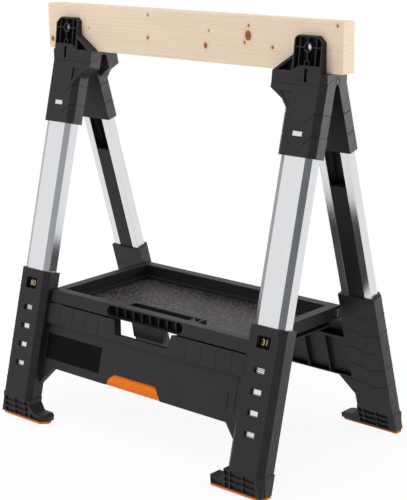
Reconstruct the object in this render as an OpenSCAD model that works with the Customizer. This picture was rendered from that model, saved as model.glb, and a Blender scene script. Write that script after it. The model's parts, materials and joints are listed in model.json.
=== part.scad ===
// Builders trestle: a folding saw trestle with telescopic legs, a tray and a timber top rail.
// Millimetres. +Z is up, X runs along the timber, the front faces -Y and the floor is z = 0.
// Each leg has its own frame: the origin on the fold pin, Z up along the leg, Y towards the fold.

/* [Stance] */
// Height of the fold pin above the floor
pin_height = 711.5; // [690:0.5:740]
// Lean of each leg from upright, in degrees
leg_lean = 15; // [12:0.5:17]
// Distance between the left and the right leg centre lines
leg_spacing = 611.2; // [560:0.2:680]
// Distance from the fold pin to the outer face of the tube
pin_to_face = 30.3; // [30:0.1:34]
// One step of the height setting, along the leg
height_step = 38.1; // [30:0.1:40]
// Number of height settings
height_settings = 4; // [2:1:4]

/* [Tubes] */
// Width of the flat outer face of the tube
tube_face_w = 45.3; // [40:0.1:50]
// Full width of the tube
tube_w = 69.2; // [62:0.1:72]
// Depth of the tube from its outer face to its lips
tube_depth = 26.2; // [22:0.1:28]
// Depth of the tube's corner chamfers
tube_chamfer = 6; // [4:0.1:8]
// Wall of the tube
tube_wall = 2; // [1.5:0.1:3]
// Width of the open slot on the inner side of the tube
tube_slot_w = 37; // [30:0.5:42]
// Distance from the fold pin down to the top of the tube
tube_top_drop = 30; // [24:0.5:40]
// Length of the tube
tube_length = 612; // [600:1:620]
// Clearance between the tube and what it slides in
slide_gap = 0.4; // [0.3:0.05:0.8]

/* [Leg shells] */
// Width of the flat outer face of a leg shell
shell_face_w = 62; // [54:0.5:66]
// Full width of a leg shell
shell_w = 84; // [78:0.5:92]
// How far a leg shell stands proud of the tube face
shell_proud = 5; // [3.5:0.1:7]
// Depth of the shell's corner chamfers
shell_chamfer = 10.2; // [6:0.1:14]
// Gap between a lower leg and the fold plane
shell_back_gap = 0.8; // [0.4:0.1:2]
// Distance from the fold pin down to the top of a lower leg
socket_drop = 440; // [420:1:470]
// Number of side bands on a lower leg
band_count = 7; // [0:1:8]
// Number of bent joint lines on the back of a lower leg
back_line_count = 5; // [0:1:6]
// Height of a side band
band_h = 1.4; // [0.6:0.1:3]
// How far a side band stands proud
band_proud = 0.8; // [0.3:0.1:2]

/* [Windows] */
// Distance from the fold pin down to the lowest window
low_window_drop = 632.7; // [625:0.1:634]
// Width of a height window
window_w = 24; // [16:0.5:26]
// Height of a height window
window_h = 10.6; // [7.8:0.1:13]
// Distance from the fold pin down to the number window
number_drop = 468.3; // [462:0.1:480]
// Width of the number window
number_w = 30.5; // [22:0.5:34]
// Height of the number window
number_h = 23; // [16:0.5:26]
// Thickness of the number plate let into the tube
number_plate_t = 0.6; // [0.4:0.1:1]

/* [Feet] */
// Distance from the middle of the trestle to the front of a foot
foot_front = 217.5; // [214:0.5:224]
// Room between a sole and the fold plane
foot_back_gap = 1; // [0.6:0.1:4]
// How far a foot stands out past the outer side of its leg
foot_flare = 2.5; // [1:0.5:8]
// How far the upper part of a foot stands out past the inner side of its leg
boot_reach = 2; // [1:0.5:10]
// How far a toe reaches inward past its leg
toe_reach = 45; // [36:0.5:55]
// Height of the toe
toe_h = 18; // [17:0.5:22]
// Height of the toe tip above the sole
toe_tip_h = 9; // [7:0.5:10]
// Corner cut of the toe
toe_cut = 6; // [2:0.5:10]
// Slope between the toe and the leg
ankle_cut = 14; // [6:0.5:18]
// Corner cut at the front of the toe
toe_front_cut = 12; // [4:0.5:16]
// Thickness of a sole
sole_t = 4; // [3:0.5:6]
// Number of rows of foot pockets
waffle_rows = 3; // [1:1:3]
// Height of one foot pocket
waffle_h = 9; // [8:0.5:12]
// Rib between two foot pockets
waffle_rib = 2.5; // [2:0.5:4]
// Depth of a foot pocket
waffle_depth = 3.5; // [1.5:0.5:5]

/* [Panels] */
// Distance from the fold pin down to the top of a panel
panel_drop = 500; // [495:0.5:510]
// Height of the upper band
band_upper_h = 40; // [34:0.5:46]
// Height of the whole panel
panel_h = 129; // [118:0.5:132]
// Depth of the upper band in front of the fold plane
upper_depth = 18.8; // [16:0.1:22]
// Depth of the lower band in front of the fold plane
lower_depth = 12.3; // [10:0.1:15]
// Wall of a panel
panel_wall = 3; // [2:0.1:4]
// Ribs behind each half of the lower band
panel_ribs = 5; // [2:1:8]
// Ribs behind each end of the upper band
upper_ribs = 3; // [2:1:6]
// Fields that the joint lines make at each end of the upper band
upper_fields = 5; // [2:1:8]
// Width of the hand opening at its top
hand_w = 152; // [130:1:180]
// How much narrower the hand opening is at its bottom
hand_taper = 14; // [0:1:30]
// Depth of the hand opening
hand_h = 28; // [24:0.5:30]
// Width of the bare label plate
label_w = 154; // [100:1:160]
// Height of the bare label plate
label_h = 51; // [30:0.5:60]
// Thickness of the bare label plate
label_t = 0.8; // [0.5:0.1:1.5]
// Distance from the upper band down to the label plate
label_drop = 21; // [8:0.5:26]
// Gap between the label plate and the leg
label_inset = 7; // [4:0.5:20]
// Sideways offset of the carrying grip from the middle
grip_shift = -8; // [-20:1:20]
// Width of the grip notch at the panel's bottom edge
grip_w = 149; // [110:1:170]
// How much narrower the grip notch is at its top
grip_taper = 36; // [10:1:50]
// Height of the grip notch
grip_h = 24; // [16:0.5:28]
// Radius of the grip's round front
grip_r = 16; // [13:0.5:30]
// How far the corner gussets reach inward
gusset_w = 33; // [20:0.5:40]
// How far the corner gussets reach down
gusset_h = 37; // [20:0.5:45]

/* [Guide rails] */
// Width of a guide rail
rail_w = 35; // [26:0.5:35.5]
// Depth of a guide rail
rail_depth = 10; // [6:0.5:11]
// Distance from the fold pin down to the top of a guide rail
rail_top_drop = 210; // [190:1:240]

/* [Heads] */
// Distance from the fold pin down to the bottom of a head
head_drop = 139; // [125:0.5:150]
// Gap between a head and the fold plane
head_back_gap = 2.3; // [1.5:0.1:3]
// How far the wings reach inward past the flat face
wing_reach = 43.6; // [30:0.1:50]
// Drop of the wing tip below the fold pin
wing_tip_drop = 24.4; // [18:0.2:30]
// Drop of the wing root below the fold pin
wing_root_drop = 59.6; // [46:0.2:70]
// Border around the wing's pocket
wing_border = 4; // [3:0.2:6]
// Depth of a wing
wing_depth = 28; // [14:0.5:28]
// Number of joint lines round a corner of a head
head_line_count = 2; // [0:1:2]
// Distance from the fold pin down to where the joint lines are counted from
head_line_start = 23; // [22:0.5:30]
// Distance from one joint line to the next
head_line_pitch = 39; // [38:0.5:44]
// Depth of a joint line
head_line_in = 1.2; // [0.3:0.1:2]
// Height of a joint line
head_line_h = 1.6; // [0.6:0.1:3]
// Sideways run of a joint line's slanting end
head_line_run = 18; // [8:0.5:19]
// Slope of the opening stop above the front heads, in degrees
stop_angle = 20.4; // [15:0.1:25]
// Radius of the hinge ears
ear_r = 7; // [6.5:0.1:7.4]
// Length of the middle hinge barrel
barrel_w = 40; // [30:0.5:50]
// Radius of the fold pin
pin_r = 4; // [3:0.1:5]
// Clearance around the hinge ears and barrel
ear_gap = 0.5; // [0.4:0.05:0.8]
// Radial running clearance of a pin
pin_gap = 0.05; // [0.02:0.01:0.1]
// Distance from the fold pin down to the tube clip
clip_drop = 99.4; // [90:0.1:110]
// Width of a tube clip
clip_w = 22; // [16:0.5:28]
// Height of a tube clip
clip_h = 8.6; // [6:0.1:12]

/* [Saddles and timber] */
// Height of the timber's seat above the fold pin
seat_rise = 14.5; // [13:0.1:18]
// Thickness of the timber
timber_t = 32; // [28:0.5:34]
// Height of the timber
timber_h = 89; // [85:0.5:100]
// Length of the timber
timber_l = 743; // [720:1:1200]
// Height of a jaw's top above the fold pin
jaw_rise = 78.5; // [72:0.5:90]
// Distance from the middle to the saddle's front at its lower edge
jaw_front = 38; // [37:0.1:42]
// Distance from the middle to a jaw's front at its top
jaw_top_front = 25; // [22:0.1:28]
// How far the saddle's seat stands in front of the jaws
seat_lip = 0.3; // [0.2:0.1:1]
// Outer top corner cut of a jaw
jaw_cut_out = 11; // [4:0.5:14]
// Inner top corner cut of a jaw
jaw_cut_in = 6; // [3:0.5:12]
// Height where a jaw's wing starts, above the fold pin
jaw_wing_rise = 45.5; // [36:0.5:52]
// Height of the wing tip above the fold pin
jaw_tip_rise = 15.5; // [15:0.5:18]
// Plate left behind the jaw's pocket
jaw_plate = 2; // [2:0.2:4]
// Border around the jaw's pocket
jaw_border = 2.6; // [2:0.1:5]
// Height of the pocket's lower edge above the fold pin
pocket_low = 27; // [24:0.5:30]
// Height of the screw boss above the fold pin
boss_rise = 58.5; // [54:0.5:62]
// Radius of the screw boss
boss_r = 9; // [7:0.2:11]
// Radius of the recess in the screw boss
boss_bore_r = 6.8; // [6.6:0.1:7.4]
// Rib in the jaw's pocket
jaw_rib = 1.6; // [1.2:0.1:3]
// Distance of the upright pocket ribs from the middle of the jaw
jaw_rib_x = 18; // [12:0.5:22]
// Radius of a timber screw
screw_r = 3; // [2:0.1:4]
// Length of a timber screw inside the timber
screw_bite = 12; // [8:0.5:13]
// Width of the screw head across flats
screw_head_w = 10; // [8:0.5:11]
// Height of the screw head
screw_head_h = 5; // [3:0.2:5.4]
// Height of the round hole above the fold pin
eye_rise = 31; // [30:0.5:34]
// Radius of the round hole
eye_r = 4; // [2:0.2:5]
// Width of the upright slot in the jaw
slot_w = 6; // [3:0.2:8]
// Height of the upright slot
slot_h = 24; // [14:0.5:24]
// Depth of the upright slot
slot_depth = 6; // [3:0.5:10]

/* [Tray] */
// Gap between the tray's side and the leg beside it
tray_side_gap = 4.2; // [3.6:0.1:20]
// Height of the tray rim above the floor
tray_top = 259.8; // [256:0.2:264]
// Distance from the middle to the front edge of the tray's rim
tray_front = 139.8; // [136:0.2:141]
// How much further the skirt reaches at its bottom
skirt_draft = 6; // [0:0.5:7]
// Distance from the middle to the rear edge of the tray
tray_rear = 131; // [126:0.5:132]
// Height of the skirt
skirt_h = 23.8; // [20:0.2:24]
// Width of the side and rear rims
rim_w = 20.4; // [19:0.2:26]
// Width of the front rim
rim_front_w = 17; // [14:0.5:22]
// Depth of the tray inside
tray_depth = 28; // [22:0.5:29]
// Wall of the tray
tray_wall = 2.5; // [2:0.1:3]
// Width of the step around the tray's floor
step_w = 9; // [4:0.5:14]
// Height of the step around the tray's floor
step_h = 6; // [2:0.5:10]
// Width of the handle recess
handle_w = 200; // [150:1:220]
// Height of the handle recess
handle_h = 20.5; // [12:0.5:20.5]
// Depth of the handle recess
handle_depth = 13; // [8:0.5:14]
// Ribs in the handle recess
handle_ribs = 8; // [3:1:12]
// Width of the raised handle deck
deck_w = 205; // [160:1:240]
// Reach of the handle deck behind the front rim
deck_reach = 46; // [38:0.5:54]
// Drop of the handle deck below the rim
deck_drop = 8; // [4:0.5:12]
// Width of the finger slot
finger_w = 158; // [90:1:170]
// Depth of the finger slot
finger_d = 20; // [12:0.5:22]
// Width of the latch tongue at its top
tongue_w = 88; // [60:1:100]
// How much narrower the latch tongue is at its bottom
tongue_taper = 12; // [0:1:24]
// Depth of the latch tongue, front to back
tongue_d = 9; // [8:0.5:16]
// How far the latch tongue hangs below the skirt
tongue_h = 32; // [20:0.5:32]
// Number of notches along the rear rim
notch_count = 12; // [0:1:16]

/* [Tray arms] */
// Distance from the middle to the tray pivot
pivot_y = 122; // [120:0.5:123]
// Radius of the tray pivot
pivot_r = 3.5; // [2.5:0.1:4]
// Distance from the middle to the front end of an arm
arm_front = -40; // [-60:1:60]
// Width of an arm
arm_w = 12; // [9:0.2:12.5]
// Drop of the arm's lower rib below the arm
arm_rib_h = 12; // [4:0.5:13]
// Width of the arm's lower rib
arm_rib_w = 7; // [5:0.2:8]
// Thickness of the flange at the foot of the arm's rib
arm_flange_t = 3.5; // [2:0.1:5]
// Clearance between an arm and the tray
arm_gap = 0.4; // [0.3:0.05:0.6]
// Thickness of a hanger plate
hanger_t = 3.2; // [2:0.1:3.4]

/* [Height locks] */
// Width of a lock button
button_w = 15; // [10:0.2:16]
// Height of a lock button
button_h = 6.2; // [5:0.1:6.8]
// Depth of a lock button
button_d = 9; // [7:0.2:9.5]
// Clearance around a lock button
button_gap = 0.25; // [0.2:0.05:0.4]
// Thickness of the lock button's leaf spring
spring_t = 0.6; // [0.4:0.1:0.8]
// Height of the plug that closes the tube's lower end
plug_h = 32; // [26:0.5:40]
// Width of the plug
plug_w = 40; // [30:0.5:42]

/* [Hidden] */
$fn = 48;
half_turn = 180;
wing_bend_share = 0.33;
quarter_turn = 90;
overrun = 400;
shell_color = [0.16, 0.155, 0.165];
core_color = [0.06, 0.06, 0.062];
tube_color = [0.80, 0.81, 0.83];
steel_color = [0.72, 0.73, 0.75];
orange_color = [0.93, 0.42, 0.05];
timber_color = [0.87, 0.74, 0.56];
label_color = [0.02, 0.02, 0.022];

leg_x = leg_spacing / 2;
height_travel = height_step * (height_settings - 1);
tube_bottom_drop = tube_top_drop + tube_length;
bore_drop = tube_bottom_drop + waffle_rib;
leg_reach = overrun * 2;
ankle_x = leg_x - shell_w / 2;
heel_x = leg_x + shell_w / 2 + foot_flare;
toe_x = ankle_x - toe_reach;
boot_x = ankle_x - boot_reach;
boot_h = sole_t + waffle_rows * (waffle_h + waffle_rib) + waffle_rib;
foot_back = pin_height * tan(leg_lean) + foot_back_gap;
shell_front = pin_to_face + shell_proud;
bore_front = pin_to_face + slide_gap;
rail_back = pin_to_face - tube_depth - slide_gap;
panel_half = leg_x - shell_w / 2;
panel_bottom_drop = panel_drop + panel_h;
ledge_drop = panel_drop + band_upper_h;
hand_wall_x = hand_w / 2 + panel_wall;
jaw_half = shell_face_w / 2;
timber_half = timber_t / 2;
stop_rise = (ear_r + ear_gap) / cos(stop_angle);
jaw_root_rise = seat_rise / 2;
stop_foot = stop_rise - jaw_front * tan(stop_angle);
jaw_slope = (jaw_front - jaw_top_front) / (jaw_rise - stop_foot);
seat_front = jaw_front - (seat_rise - stop_foot) * jaw_slope + seat_lip;
root_front = jaw_front - (jaw_root_rise - stop_foot) * jaw_slope;
tray_half = panel_half - tray_side_gap;
tray_w = tray_half * 2;
skirt_low = tray_top - skirt_h;
tray_floor = tray_top - tray_depth;
pan_half = tray_half - rim_w + tray_wall;
pan_front = tray_front - rim_front_w + tray_wall;
pan_rear = tray_rear - rim_w + tray_wall;
deck_top = tray_top - deck_drop;
deck_back = -pan_front + deck_reach;
tongue_back = -tray_front + handle_depth + tray_wall;
channel_out = tray_half - tray_wall;
arm_mid_x = (pan_half + channel_out) / 2;
arm_top = tray_top - tray_wall - arm_gap;
arm_low = skirt_low + tray_wall + arm_gap;
arm_round = (arm_top - arm_low) / 2;
pivot_z = (arm_top + arm_low) / 2;
plug_front = pin_to_face - tube_wall;
plug_back = rail_back + rail_depth + slide_gap;
button_back = pin_to_face - button_d;
spring_seat = plug_back + tube_wall / 2;

// Frames

// Puts children, drawn in the leg frame, on the front legs' plane.
module at_front() {
  translate([0, 0, pin_height])
    rotate([-leg_lean, 0, 0])
      children();
}

// Turns front pieces round to the rear: the front left piece becomes the rear right one.
module turned() {
  rotate([0, 0, half_turn])
    children();
}

// Mirrors a right-hand piece to the left.
module left_hand() {
  mirror([1, 0, 0])
    children();
}

// Draws children in the frame of the front right leg.
module on_leg() {
  at_front()
    translate([leg_x, 0, 0])
      children();
}

// Draws children on the right and on the left.
module both_sides() {
  children();
  left_hand()
    children();
}

// Draws children at the front and at the rear of both sides.
module all_corners() {
  for (side = [0, half_turn])
    rotate([0, 0, side])
      both_sides()
        children();
}

// A flat outline in X and Z, pushed towards -Y from y_far by depth.
module upright(outline, y_far, depth) {
  translate([0, y_far, 0])
    rotate([quarter_turn, 0, 0])
      linear_extrude(height = depth)
        polygon(outline);
}

// A flat outline in Y and Z, drawn along X from x_low by length.
module lengthwise(outline, x_low, length) {
  translate([x_low, 0, 0])
    rotate([quarter_turn, 0, quarter_turn])
      linear_extrude(height = length)
        polygon(outline);
}

// A leg section between two heights of the leg frame.
module leg_prism(outline, low, high) {
  translate([0, 0, low])
    linear_extrude(height = high - low)
      polygon(outline);
}

// A round bar along X.
module bar_x(radius, x_low, length) {
  translate([x_low, 0, 0])
    rotate([0, quarter_turn, 0])
      cylinder(h = length, r = radius);
}

// Sections

// Half of the tube's outline, from the outer face round to the lips, grown by a clearance.
function tube_side(grow) = [
  [tube_face_w / 2 + grow / 2, -pin_to_face - grow],
  [tube_w / 2 + grow, -pin_to_face + tube_chamfer - grow / 2],
  [tube_w / 2 + grow, -pin_to_face + tube_depth + grow]
];

function mirrored(side) = [for (i = [len(side) - 1:-1:0]) [-side[i][0], side[i][1]]];

function tube_outline(grow) = concat(tube_side(grow), mirrored(tube_side(grow)));

// Outline of a leg shell, ending a given gap before the fold plane.
function shell_outline(back_gap) = [
  [jaw_half, -shell_front],
  [shell_w / 2, -shell_front + shell_chamfer],
  [shell_w / 2, -back_gap],
  [-shell_w / 2, -back_gap],
  [-shell_w / 2, -shell_front + shell_chamfer],
  [-jaw_half, -shell_front]
];

// Tubes

module tube() {
  color(tube_color)
    on_leg()
      difference() {
        leg_prism(tube_outline(0), -tube_bottom_drop, -tube_top_drop);
        leg_prism(tube_outline(-tube_wall), -leg_reach, overrun);
        leg_prism([
          [-tube_slot_w / 2, -pin_to_face + tube_depth / 2],
          [tube_slot_w / 2, -pin_to_face + tube_depth / 2],
          [tube_slot_w / 2, 0],
          [-tube_slot_w / 2, 0]
        ], -leg_reach, overrun);
        number_recess();
        button_hole(button_gap);
      }
}

// Shallow recess in the tube face, in line with the number window.
module number_recess() {
  translate([-number_w / 2, -pin_to_face - overrun, -number_drop - number_h / 2])
    cube([number_w, overrun + number_plate_t, number_h]);
}

module number_plate() {
  color(label_color)
    on_leg()
      translate([-number_w / 2, -pin_to_face, -number_drop - number_h / 2])
        cube([number_w, number_plate_t, number_h]);
}

// Height locks

// The button's passage through the tube and the plug, grown by a clearance.
module button_hole(grow) {
  translate([-button_w / 2 - grow, -pin_to_face - overrun, -low_window_drop - button_h / 2 - grow])
    cube([button_w + 2 * grow, overrun + button_d + grow, button_h + 2 * grow]);
}

module lock_button() {
  color(steel_color)
    on_leg()
      translate([-button_w / 2, -pin_to_face, -low_window_drop - button_h / 2])
        cube([button_w, button_d, button_h]);
}

module tube_plug() {
  color(core_color)
    on_leg()
      difference() {
        translate([-plug_w / 2, -plug_front, -tube_bottom_drop])
          cube([plug_w, plug_front - plug_back, plug_h]);
        button_hole(button_gap);
        spring_pocket();
      }
}

// Room behind the button for its leaf spring.
module spring_pocket() {
  translate([-button_w / 2, -button_back, -low_window_drop - button_h / 2])
    cube([button_w, button_back - spring_seat, button_h]);
}

// A bowed leaf: both ends press on the plug and the middle bears on the button.
module lock_spring() {
  spring_half = button_w / 2 - spring_t;
  bow = button_back - spring_seat - button_gap;
  color(steel_color)
    on_leg()
      leg_prism([
        [-spring_half, -spring_seat],
        [-spring_half, -spring_seat - spring_t],
        [0, -spring_seat - bow],
        [spring_half, -spring_seat - spring_t],
        [spring_half, -spring_seat],
        [0, -spring_seat - bow + spring_t]
      ], -low_window_drop - spring_t * 2, -low_window_drop + spring_t * 2);
}

// Lower legs

// The outside of a front right leg below its socket top, with its foot.
module leg_core() {
  difference() {
    on_leg()
      leg_prism(shell_outline(shell_back_gap), -leg_reach, -socket_drop);
    translate([-overrun * 2, -foot_front - overrun, -overrun])
      cube([overrun * 4, overrun, overrun * 2]);
    translate([-overrun * 2, -overrun * 2, -overrun + sole_t])
      cube([overrun * 4, overrun * 4, overrun]);
  }
  foot_block();
}

// Plan of the foot, shared by the foot and its sole.
module foot_plan(low, high, back) {
  translate([0, 0, low])
    linear_extrude(height = high - low)
      polygon([
        [toe_x + toe_front_cut, -foot_front],
        [leg_x + jaw_half, -foot_front],
        [heel_x, -foot_front + shell_chamfer],
        [heel_x, -back],
        [toe_x + toe_cut, -back],
        [toe_x, -back - toe_cut],
        [toe_x, -foot_front + toe_front_cut]
      ]);
}

// The foot above its sole: a ribbed boot round the leg, with the toe on its inner side.
module foot_block() {
  difference() {
    intersection() {
      foot_plan(sole_t, boot_h, foot_back - boot_h * tan(leg_lean));
      upright([
        [toe_x, sole_t],
        [toe_x, sole_t + toe_tip_h],
        [toe_x + toe_cut, toe_h],
        [boot_x - ankle_cut, toe_h],
        [boot_x, toe_h + ankle_cut],
        [boot_x, boot_h],
        [heel_x, boot_h],
        [heel_x, sole_t]
      ], 0, overrun);
    }
    on_leg()
      translate([-overrun, -shell_back_gap, -leg_reach])
        cube([overrun * 2, overrun, leg_reach]);
  }
}

// The ribbed boot's pockets, from front to back.
module pocket_grid() {
  column_w = (shell_face_w - 3 * waffle_rib) / 2;
  inner_w = leg_x - jaw_half - boot_x - waffle_rib;
  for (row = [0:waffle_rows - 1])
    translate([0, -overrun, sole_t + waffle_rib + row * (waffle_h + waffle_rib)]) {
      translate([boot_x + waffle_rib, 0, 0])
        cube([inner_w, overrun, waffle_h]);
      for (column = [0:1])
        translate([leg_x - jaw_half + waffle_rib + column * (column_w + waffle_rib), 0, 0])
          cube([column_w, overrun, waffle_h]);
    }
}

// Pockets in the front of the foot and of the toe, and in the back of the foot, all of one depth.
module foot_pockets() {
  difference() {
    union() {
      pocket_grid();
      translate([toe_x + toe_front_cut, -overrun, sole_t + waffle_rib])
        cube([boot_x - toe_x - toe_front_cut - waffle_rib, overrun, toe_tip_h]);
    }
    translate([0, waffle_depth, 0])
      leg_core();
  }
  difference() {
    pocket_grid();
    translate([0, -waffle_depth, 0])
      leg_core();
  }
}

// A pocket through the leg's outer wall.
module window(width, height, drop) {
  translate([-width / 2, -shell_front - overrun, -drop - height / 2])
    cube([width, overrun + shell_front - pin_to_face, height]);
}

// Raised bands across the outer chamfer and side.
module side_band(drop) {
  leg_prism([
    [jaw_half, -shell_front],
    [jaw_half + band_proud, -shell_front],
    [shell_w / 2 + band_proud, -shell_front + shell_chamfer],
    [shell_w / 2 + band_proud, -shell_back_gap - shell_chamfer / 2],
    [shell_w / 2, -shell_back_gap - shell_chamfer / 2],
    [shell_w / 2, -shell_front + shell_chamfer]
  ], -drop - band_h, -drop);
}

// Bent joint line across the back of a lower leg.
module back_line(drop) {
  dip = jaw_half / 4;
  upright([
    [-shell_w, -drop],
    [-jaw_half / 2, -drop],
    [0, -drop - dip],
    [jaw_half / 2, -drop - dip],
    [jaw_half, -drop],
    [shell_w, -drop],
    [shell_w, -drop - band_h],
    [jaw_half, -drop - band_h],
    [jaw_half / 2, -drop - band_h - dip],
    [0, -drop - band_h - dip],
    [-jaw_half / 2, -drop - band_h],
    [-shell_w, -drop - band_h]
  ], overrun, overrun + shell_back_gap + band_proud);
}

// Corner brace under the panel's end.
module gusset() {
  upright([
    [-shell_w / 2, -panel_bottom_drop],
    [-shell_w / 2 - gusset_w, -panel_bottom_drop],
    [-shell_w / 2, -panel_bottom_drop - gusset_h]
  ], -shell_back_gap, lower_depth - shell_back_gap);
}

module lower_leg() {
  color(shell_color)
    difference() {
      union() {
        leg_core();
        on_leg() {
          gusset();
          for (i = [0:band_count - 1])
            side_band(socket_drop + (i + 1) * height_step - band_h);
        }
      }
      on_leg() {
        leg_prism(tube_outline(slide_gap), -bore_drop, overrun);
        window(number_w, number_h, number_drop);
        for (i = [0:height_settings - 1])
          window(window_w, window_h, low_window_drop - i * height_step);
        for (i = [1:back_line_count])
          back_line(socket_drop + i * height_step);
      }
      foot_pockets();
    }
}

module guide_rail() {
  color(core_color)
    on_leg()
      translate([-rail_w / 2, -rail_back - rail_depth, -bore_drop])
        cube([rail_w, rail_depth, bore_drop - rail_top_drop]);
}

module sole() {
  color(orange_color)
    foot_plan(0, sole_t, foot_back);
}

// Panels

// Section of a panel in the leg frame, without its back upper corner.
panel_faces = [
  [-shell_back_gap, -panel_bottom_drop],
  [-lower_depth, -panel_bottom_drop],
  [-lower_depth, -ledge_drop],
  [-upper_depth, -ledge_drop],
  [-upper_depth, -panel_drop]
];

// The rear panel's section ends in a plain corner.
plain_section = concat(panel_faces, [[-shell_back_gap, -panel_drop]]);

// The front panel's section ends in a lip that closes the gap under the tray.
lip_section = concat(panel_faces, [
  [-shell_back_gap - panel_wall, -panel_drop],
  [-shell_back_gap - panel_wall, -panel_drop + panel_wall],
  [-shell_back_gap, -panel_drop + panel_wall]
]);

// A pocket in the back of the panel.
module back_pocket(x_low, width, front, drop, height) {
  translate([x_low, -front, -drop - height])
    cube([width, overrun, height]);
}

module panel_pockets() {
  upper_pitch = (panel_half - hand_wall_x) / upper_ribs;
  lower_pitch = panel_half / panel_ribs;
  both_sides() {
    for (i = [0:upper_ribs - 1])
      back_pocket(hand_wall_x + i * upper_pitch, upper_pitch - panel_wall, upper_depth - panel_wall,
        panel_drop + panel_wall, band_upper_h - 2 * panel_wall);
    for (i = [0:panel_ribs - 1])
      back_pocket(i * lower_pitch + panel_wall / 2, lower_pitch - panel_wall, lower_depth - panel_wall,
        ledge_drop + panel_wall, panel_h - band_upper_h - 2 * panel_wall);
  }
}

// The hand opening in the upper band, open at the top.
module hand_opening() {
  upright([
    [-hand_w / 2, -panel_drop + overrun],
    [-hand_w / 2, -panel_drop],
    [-hand_w / 2 + hand_taper / 2, -panel_drop - hand_h],
    [hand_w / 2 - hand_taper / 2, -panel_drop - hand_h],
    [hand_w / 2, -panel_drop],
    [hand_w / 2, -panel_drop + overrun]
  ], overrun, overrun * 2);
}

// Outline of the grip notch, grown by a margin.
function grip_outline(grow, below) = [
  [grip_shift - grip_w / 2 - grow, -panel_bottom_drop - below],
  [grip_shift + grip_w / 2 + grow, -panel_bottom_drop - below],
  [grip_shift + grip_w / 2 + grow, -panel_bottom_drop],
  [grip_shift + grip_w / 2 - grip_taper / 2 + grow, -panel_bottom_drop + grip_h + grow],
  [grip_shift - grip_w / 2 + grip_taper / 2 - grow, -panel_bottom_drop + grip_h + grow],
  [grip_shift - grip_w / 2 - grow, -panel_bottom_drop]
];

// Upright joint lines in the upper band, and two slots beside the right leg.
module panel_lines() {
  line_w = panel_wall / 2;
  line_pitch = (panel_half - hand_wall_x) / upper_fields;
  slot_room = panel_h - band_upper_h - panel_wall * 6;
  both_sides()
    for (i = [1:upper_fields - 1])
      translate([hand_wall_x + i * line_pitch, -upper_depth - overrun, -ledge_drop])
        cube([line_w / 2, overrun + line_w / 2, band_upper_h - panel_wall]);
  for (i = [1:2])
    translate([panel_half - i * line_pitch / 2, -lower_depth - overrun, -panel_bottom_drop + slot_room / 4])
      cube([line_w, overrun + line_w, slot_room / i]);
}

module label_place(depth) {
  translate([-panel_half + label_inset, -lower_depth - overrun, -ledge_drop - label_drop - label_h])
    cube([label_w, overrun + depth, label_h]);
}

module panel(section) {
  color(shell_color)
    at_front()
      difference() {
        lengthwise(section, -panel_half, panel_half * 2);
        panel_pockets();
        hand_opening();
        upright(grip_outline(0, overrun), overrun, overrun * 2);
        upright(grip_outline(panel_wall, overrun), overrun, overrun + lower_depth - panel_wall);
        panel_lines();
        label_place(label_t);
      }
}

module label_plate() {
  color(label_color)
    at_front()
      intersection() {
        label_place(label_t);
        translate([-panel_half, -lower_depth, -panel_bottom_drop])
          cube([panel_half * 2, lower_depth, panel_h]);
      }
}

// The grip: a flange behind the panel's wall and a round front that fills the notch.
module grip() {
  color(orange_color)
    at_front() {
      upright(grip_outline(panel_wall, 0), -shell_back_gap, lower_depth - panel_wall - shell_back_gap);
      intersection() {
        upright(grip_outline(0, 0), 0, overrun);
        translate([0, grip_r - lower_depth, -panel_bottom_drop + grip_h / 2])
          bar_x(grip_r, -overrun, overrun * 2);
        translate([-overrun, -overrun - lower_depth + panel_wall, -panel_bottom_drop])
          cube([overrun * 2, overrun, overrun]);
      }
    }
}

// Heads

// The space above the opening stop, at a distance from the fold pin.
module above_stop(distance) {
  translate([-overrun * 2, 0, pin_height])
    rotate([stop_angle, 0, 0])
      translate([0, -overrun, distance])
        cube([overrun * 4, overrun * 2, overrun]);
}

// A round bar on the fold pin, in the leg's X range.
module on_pin(radius, x_low, length) {
  translate([leg_x, 0, pin_height])
    bar_x(radius, x_low, length);
}

// The sleeve of a front head with its wing, before its top is cut.
module head_sleeve() {
  on_leg() {
    leg_prism(shell_outline(head_back_gap), -head_drop, ear_r * 2);
    upright([
      [-jaw_half, -wing_root_drop],
      [-jaw_half - wing_reach * wing_bend_share, -(wing_root_drop + wing_tip_drop) / 2],
      [-jaw_half - wing_reach, -wing_tip_drop],
      [-jaw_half - wing_reach, ear_r * 2],
      [-jaw_half, ear_r * 2]
    ], -shell_front + wing_depth, wing_depth);
  }
}

// What is cut out of every head: the tube's room, the clip window and the wing's pocket.
module head_cuts() {
  on_leg() {
    leg_prism(tube_outline(0), -leg_reach, -tube_top_drop);
    window(clip_w, clip_h, clip_drop);
    upright([
      [-jaw_half + wing_border, -wing_root_drop + wing_border],
      [-jaw_half - wing_reach / 2, -wing_tip_drop - wing_border],
      [-jaw_half + wing_border, -wing_tip_drop - wing_border]
    ], -shell_front + jaw_border, overrun);
    head_lines();
  }
}

// Outline of a head at the bottom of its joint lines.
function head_line_outline(inset) = [
  [jaw_half - inset / 2, -shell_front + inset],
  [shell_w / 2 - inset, -shell_front + shell_chamfer + inset / 2],
  [shell_w / 2 - inset, overrun],
  [-shell_w / 2 + inset, overrun],
  [-shell_w / 2 + inset, -shell_front + shell_chamfer + inset / 2],
  [-jaw_half + inset / 2, -shell_front + inset]
];

// Joint line round one corner of a head, with a slanting end on its face.
module head_line(drop) {
  difference() {
    upright([
      [jaw_half - head_line_run, -drop - head_line_run],
      [jaw_half, -drop],
      [shell_w, -drop],
      [shell_w, -drop - head_line_h],
      [jaw_half, -drop - head_line_h],
      [jaw_half - head_line_run, -drop - head_line_run - head_line_h]
    ], overrun, overrun * 2);
    leg_prism(head_line_outline(head_line_in), -leg_reach, overrun);
  }
}

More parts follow.
